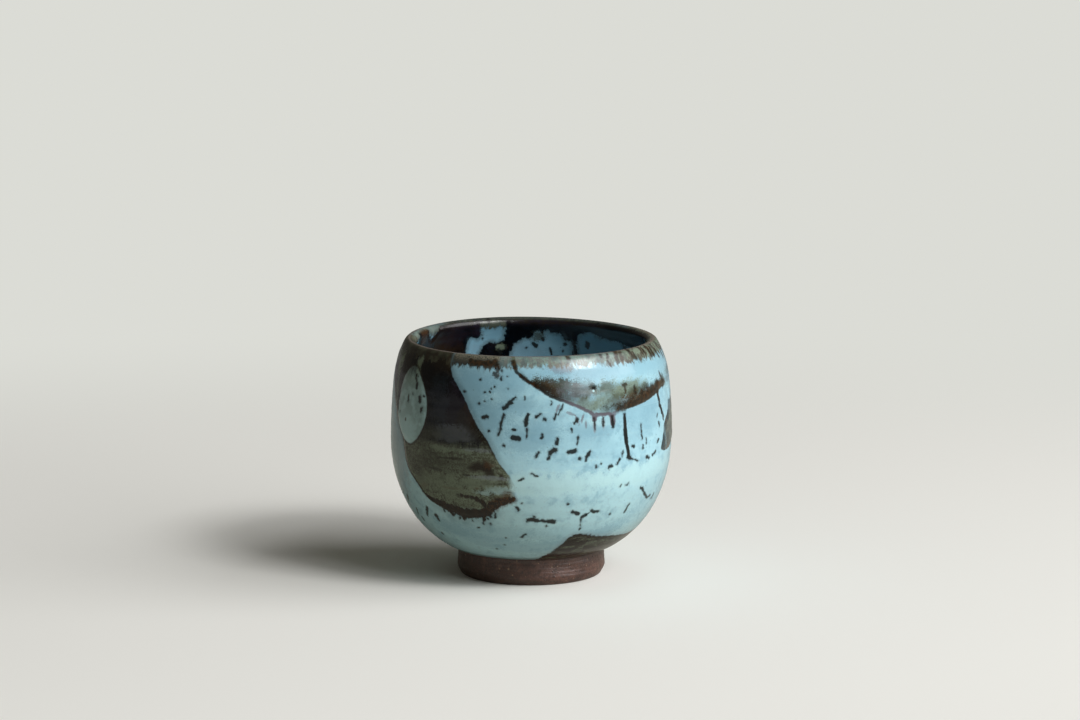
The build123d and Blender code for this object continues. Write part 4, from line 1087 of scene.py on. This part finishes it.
class CUP_OT_foot(bpy.types.Operator):
    """Build the trimmed foot ring of bare clay"""

    bl_idname = "cup.foot"
    bl_label = "Foot ring"

    def execute(self, context):
        mm = in_millimetres(context.scene.cup_sizes)
        wide, tall, s = mm.foot_radius, mm.foot_height, 0.16
        recess = wide - 4.65
        corners = [
            (0.01, tall - 0.45), (recess - 0.9, tall - 0.3), (recess - 0.1, tall - 0.9), (recess + 0.2, 2.4),
            (recess + 0.42, 0.35), (recess + 0.85, 0.0), (wide - 1.35, 0.0), (wide - 0.95, 0.12),
            (wide - 0.18, 1.25), (wide - 0.02, 1.9), (wide - 0.14, 4.0), (wide - 0.3, tall + 0.12),
            (wide - 1.2, tall + 0.12), (0.01, tall + 0.12),
        ]
        rows = [straight(a, b, s if max(a[0], b[0]) > recess + 0.1 and a[1] < tall else 0.5)
                for a, b in zip(corners, corners[1:])]
        path = np.vstack(rows)
        soft = path.copy()
        for _ in range(3):
            soft[1:-1] = (soft[:-2] + 2 * soft[1:-1] + soft[2:]) / 4
        path = soft
        columns = 300
        turn = np.arange(columns) * 2 * math.pi / columns
        radius, spin = np.meshgrid(path[1:-1, 0], turn, indexing="ij")
        z = np.repeat(path[1:-1, 1][:, None], columns, 1)
        ceiling = np.clip((recess - 1.5 - radius) / 2, 0, 1) * (z < tall)
        swirl = np.sin((radius * 2.6 + spin) * 1.0) * 0.07 - 0.35 * np.exp(-(radius / 1.1) ** 2)
        z = z + ceiling * swirl
        side = np.clip(z / 1.2, 0, 1) * np.clip((tall - z) / 0.8, 0, 1) * (radius > recess)
        chatter = 0.015 * np.sin(z * 7.0 + 0.8 * np.sin(spin)) + 0.05 * np.sin(3 * spin + z) + 0.03 * np.sin(7 * spin + 2 * z)
        radius = radius - side * (0.12 - chatter)
        points = np.stack([radius * np.sin(spin), -radius * np.cos(spin), z], -1).reshape(-1, 3)
        poles = [[0.0, 0.0, path[0, 1] - 0.3], [0.0, 0.0, path[-1, 1]]]
        points = np.vstack([poles[:1], points, poles[1:]])
        faces = [tuple(reversed(face)) for face in revolved(len(path) - 2, columns)]
        piece = make_object("foot_ring_clay", points, faces, {"base_place": points}, clay_material())
        settle(piece, "bare_clay", "foot_ring")
        return {"FINISHED"}


class CUP_OT_pours(bpy.types.Operator):
    """Build the three pours of dark iron glaze that hang from the lip"""

    bl_idname = "cup.pours"
    bl_label = "Iron pours"

    def execute(self, context):
        skin = Skin(in_millimetres(context.scene.cup_sizes))
        pattern = Pattern(skin)
        thick = skin.mm.pour_thickness

        def proud(share):
            return thick * share

        pours = [
            ("left_iron_pour", "left_pour", (-108.0, 4.0), (-4.0, 50.0), "iron_glaze"),
            ("right_iron_pour", "right_pour", (-16.0, 132.0), (-4.0, 36.0), "thin_iron_glaze"),
            ("inner_iron_pour", "inner_pour", (88.0, 270.0), (-24.0, 2.0), "iron_glaze"),
        ]
        for node, key, bearings, lips, slot in pours:
            material = glaze_material("fired_" + node)
            piece = pour_object(node + "_glaze", pattern, key, bearings, lips, proud, 0.0, material)
            settle(piece, slot, node)
        return {"FINISHED"}


class CUP_OT_splash(bpy.types.Operator):
    """Build the pale splash that lies on the left pour"""

    bl_idname = "cup.splash"
    bl_label = "Pale splash"

    def execute(self, context):
        skin = Skin(in_millimetres(context.scene.cup_sizes))
        pattern = Pattern(skin)
        thick = skin.mm.pour_thickness

        def proud(share):
            return thick + skin.mm.splash_thickness * share

        piece = pour_object("pale_splash_glaze", pattern, "splash", (-76.0, -40.0), (2.0, 26.0), proud, 0.0,
                            glaze_material("fired_splash_glaze"))
        settle(piece, "splash_glaze", "pale_splash")
        return {"FINISHED"}


class CUP_OT_stage(bpy.types.Operator):
    """Set up the pale floor, the soft studio light and the camera at the photograph's angle"""

    bl_idname = "cup.stage"
    bl_label = "Stage"

    def execute(self, context):
        scene = context.scene
        size = 6.0
        mesh = bpy.data.meshes.new("floor")
        mesh.from_pydata([(-size, -size, 0), (size, -size, 0), (size, size, 0), (-size, size, 0)], [], [(0, 1, 2, 3)])
        floor = bpy.data.objects.new("floor", mesh)
        scene.collection.objects.link(floor)
        paper = bpy.data.materials.new("pale_paper")
        paper.use_nodes = True
        w = Wiring(paper.node_tree)
        shader = paper.node_tree.nodes["Principled BSDF"]
        ray = w.node("ShaderNodeLightPath").outputs
        seen = ray["Is Camera Ray"]
        shown = (0.91, 0.90, 0.855, 1.0)
        w.feed(shader.inputs["Base Color"], w.mix(seen, (0.46, 0.44, 0.38, 1.0), shown))
        shader.inputs["Roughness"].default_value = 0.9
        shader.inputs["Specular IOR Level"].default_value = 0.1
        # far from the cup the paper shows one even tone, dimmer in the glaze than to the camera
        spot = w.node("ShaderNodeNewGeometry").outputs["Position"]
        reach = w.vector("LENGTH", w.vector("MULTIPLY", spot, (0.7, 1.0, 1.0)))
        far = w.both(w.step(reach, 0.10, 0.34), w.math("MAXIMUM", seen, ray["Is Glossy Ray"]))
        tone = w.mix(seen, (0.22, 0.215, 0.205, 1.0), (0.71, 0.715, 0.67, 1.0))
        glow = w.node("ShaderNodeEmission", {"Color": tone, "Strength": 1.0})
        both = w.node("ShaderNodeMixShader", (far, shader.outputs[0], glow.outputs[0]))
        w.feed(paper.node_tree.nodes["Material Output"].inputs["Surface"], both.outputs[0])
        mesh.materials.append(paper)

        def softbox(name, azimuth, elevation, distance, width, tall, level, tint):
            """A rectangular lamp that lights a white card facing it, at the cup, to the given level."""
            light = bpy.data.lights.new(name, "AREA")
            light.shape = "RECTANGLE"
            light.size, light.size_y, light.color = width, tall, tint
            light.energy = level * (math.pi * distance) ** 2
            lamp = bpy.data.objects.new(name, light)
            a, e = math.radians(azimuth), math.radians(elevation)
            aim = np.array([math.sin(a) * math.cos(e), -math.cos(a) * math.cos(e), math.sin(e)])
            lamp.location = aim * distance + np.array([0, 0, 0.03])
            lamp.rotation_euler = (math.pi / 2 - e, 0, a)
            scene.collection.objects.link(lamp)

        softbox("side_window", 68.0, 35.0, 2.4, 2.8, 2.0, 1.15, (0.98, 0.99, 1.0))
        softbox("key_window", 52.0, 40.0, 1.8, 0.50, 0.34, 0.38, (1.0, 1.0, 1.0))

        world = bpy.data.worlds.new("soft_room")
        world.use_nodes = True
        world.node_tree.nodes["Background"].inputs["Color"].default_value = (1.0, 0.93, 0.78, 1.0)
        world.node_tree.nodes["Background"].inputs["Strength"].default_value = 0.09
        scene.world = world

        pitch, distance = math.radians(9.97), 1.02
        aim = (0.00207, 0.0, 0.04939)
        data = bpy.data.cameras.new("camera")
        data.lens, data.sensor_width = 148.1, 36.0
        data.clip_start, data.clip_end = 0.05, 50.0
        camera = bpy.data.objects.new("camera", data)
        camera.location = (aim[0], -distance * math.cos(pitch), aim[2] + distance * math.sin(pitch))
        camera.rotation_euler = (math.pi / 2 - pitch, 0, 0)
        scene.collection.objects.link(camera)
        scene.camera = camera
        scene.view_settings.view_transform = "Standard"
        return {"FINISHED"}


class CUP_PT_panel(bpy.types.Panel):
    """Lists the cup's sizes, colours and building steps"""

    bl_idname = "CUP_PT_panel"
    bl_label = "Sake Cup"
    bl_space_type = "VIEW_3D"
    bl_region_type = "UI"
    bl_category = "Sake Cup"

    def draw(self, context):
        layout = self.layout
        for title, group in (("Sizes", context.scene.cup_sizes), ("Colours", context.scene.cup_colours)):
            box = layout.box()
            box.label(text=title)
            for name in type(group).__annotations__:
                box.prop(group, name)
        for operator in OPERATORS:
            layout.operator(operator.bl_idname)


OPERATORS = (CUP_OT_bowl, CUP_OT_foot, CUP_OT_pours, CUP_OT_splash, CUP_OT_stage)
CLASSES = (CupSizes, CupColours, *OPERATORS, CUP_PT_panel)


def register():
    for made in CLASSES:
        bpy.utils.register_class(made)
    bpy.types.Scene.cup_sizes = PointerProperty(type=CupSizes)
    bpy.types.Scene.cup_colours = PointerProperty(type=CupColours)


def unregister():
    del bpy.types.Scene.cup_colours
    del bpy.types.Scene.cup_sizes
    for made in reversed(CLASSES):
        bpy.utils.unregister_class(made)


def main():
    """Builds the cup and its stage."""
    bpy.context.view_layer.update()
    register()
    bpy.ops.cup.bowl()
    bpy.ops.cup.foot()
    bpy.ops.cup.pours()
    bpy.ops.cup.splash()
    bpy.ops.cup.stage()


if __name__ == "__main__":
    main()
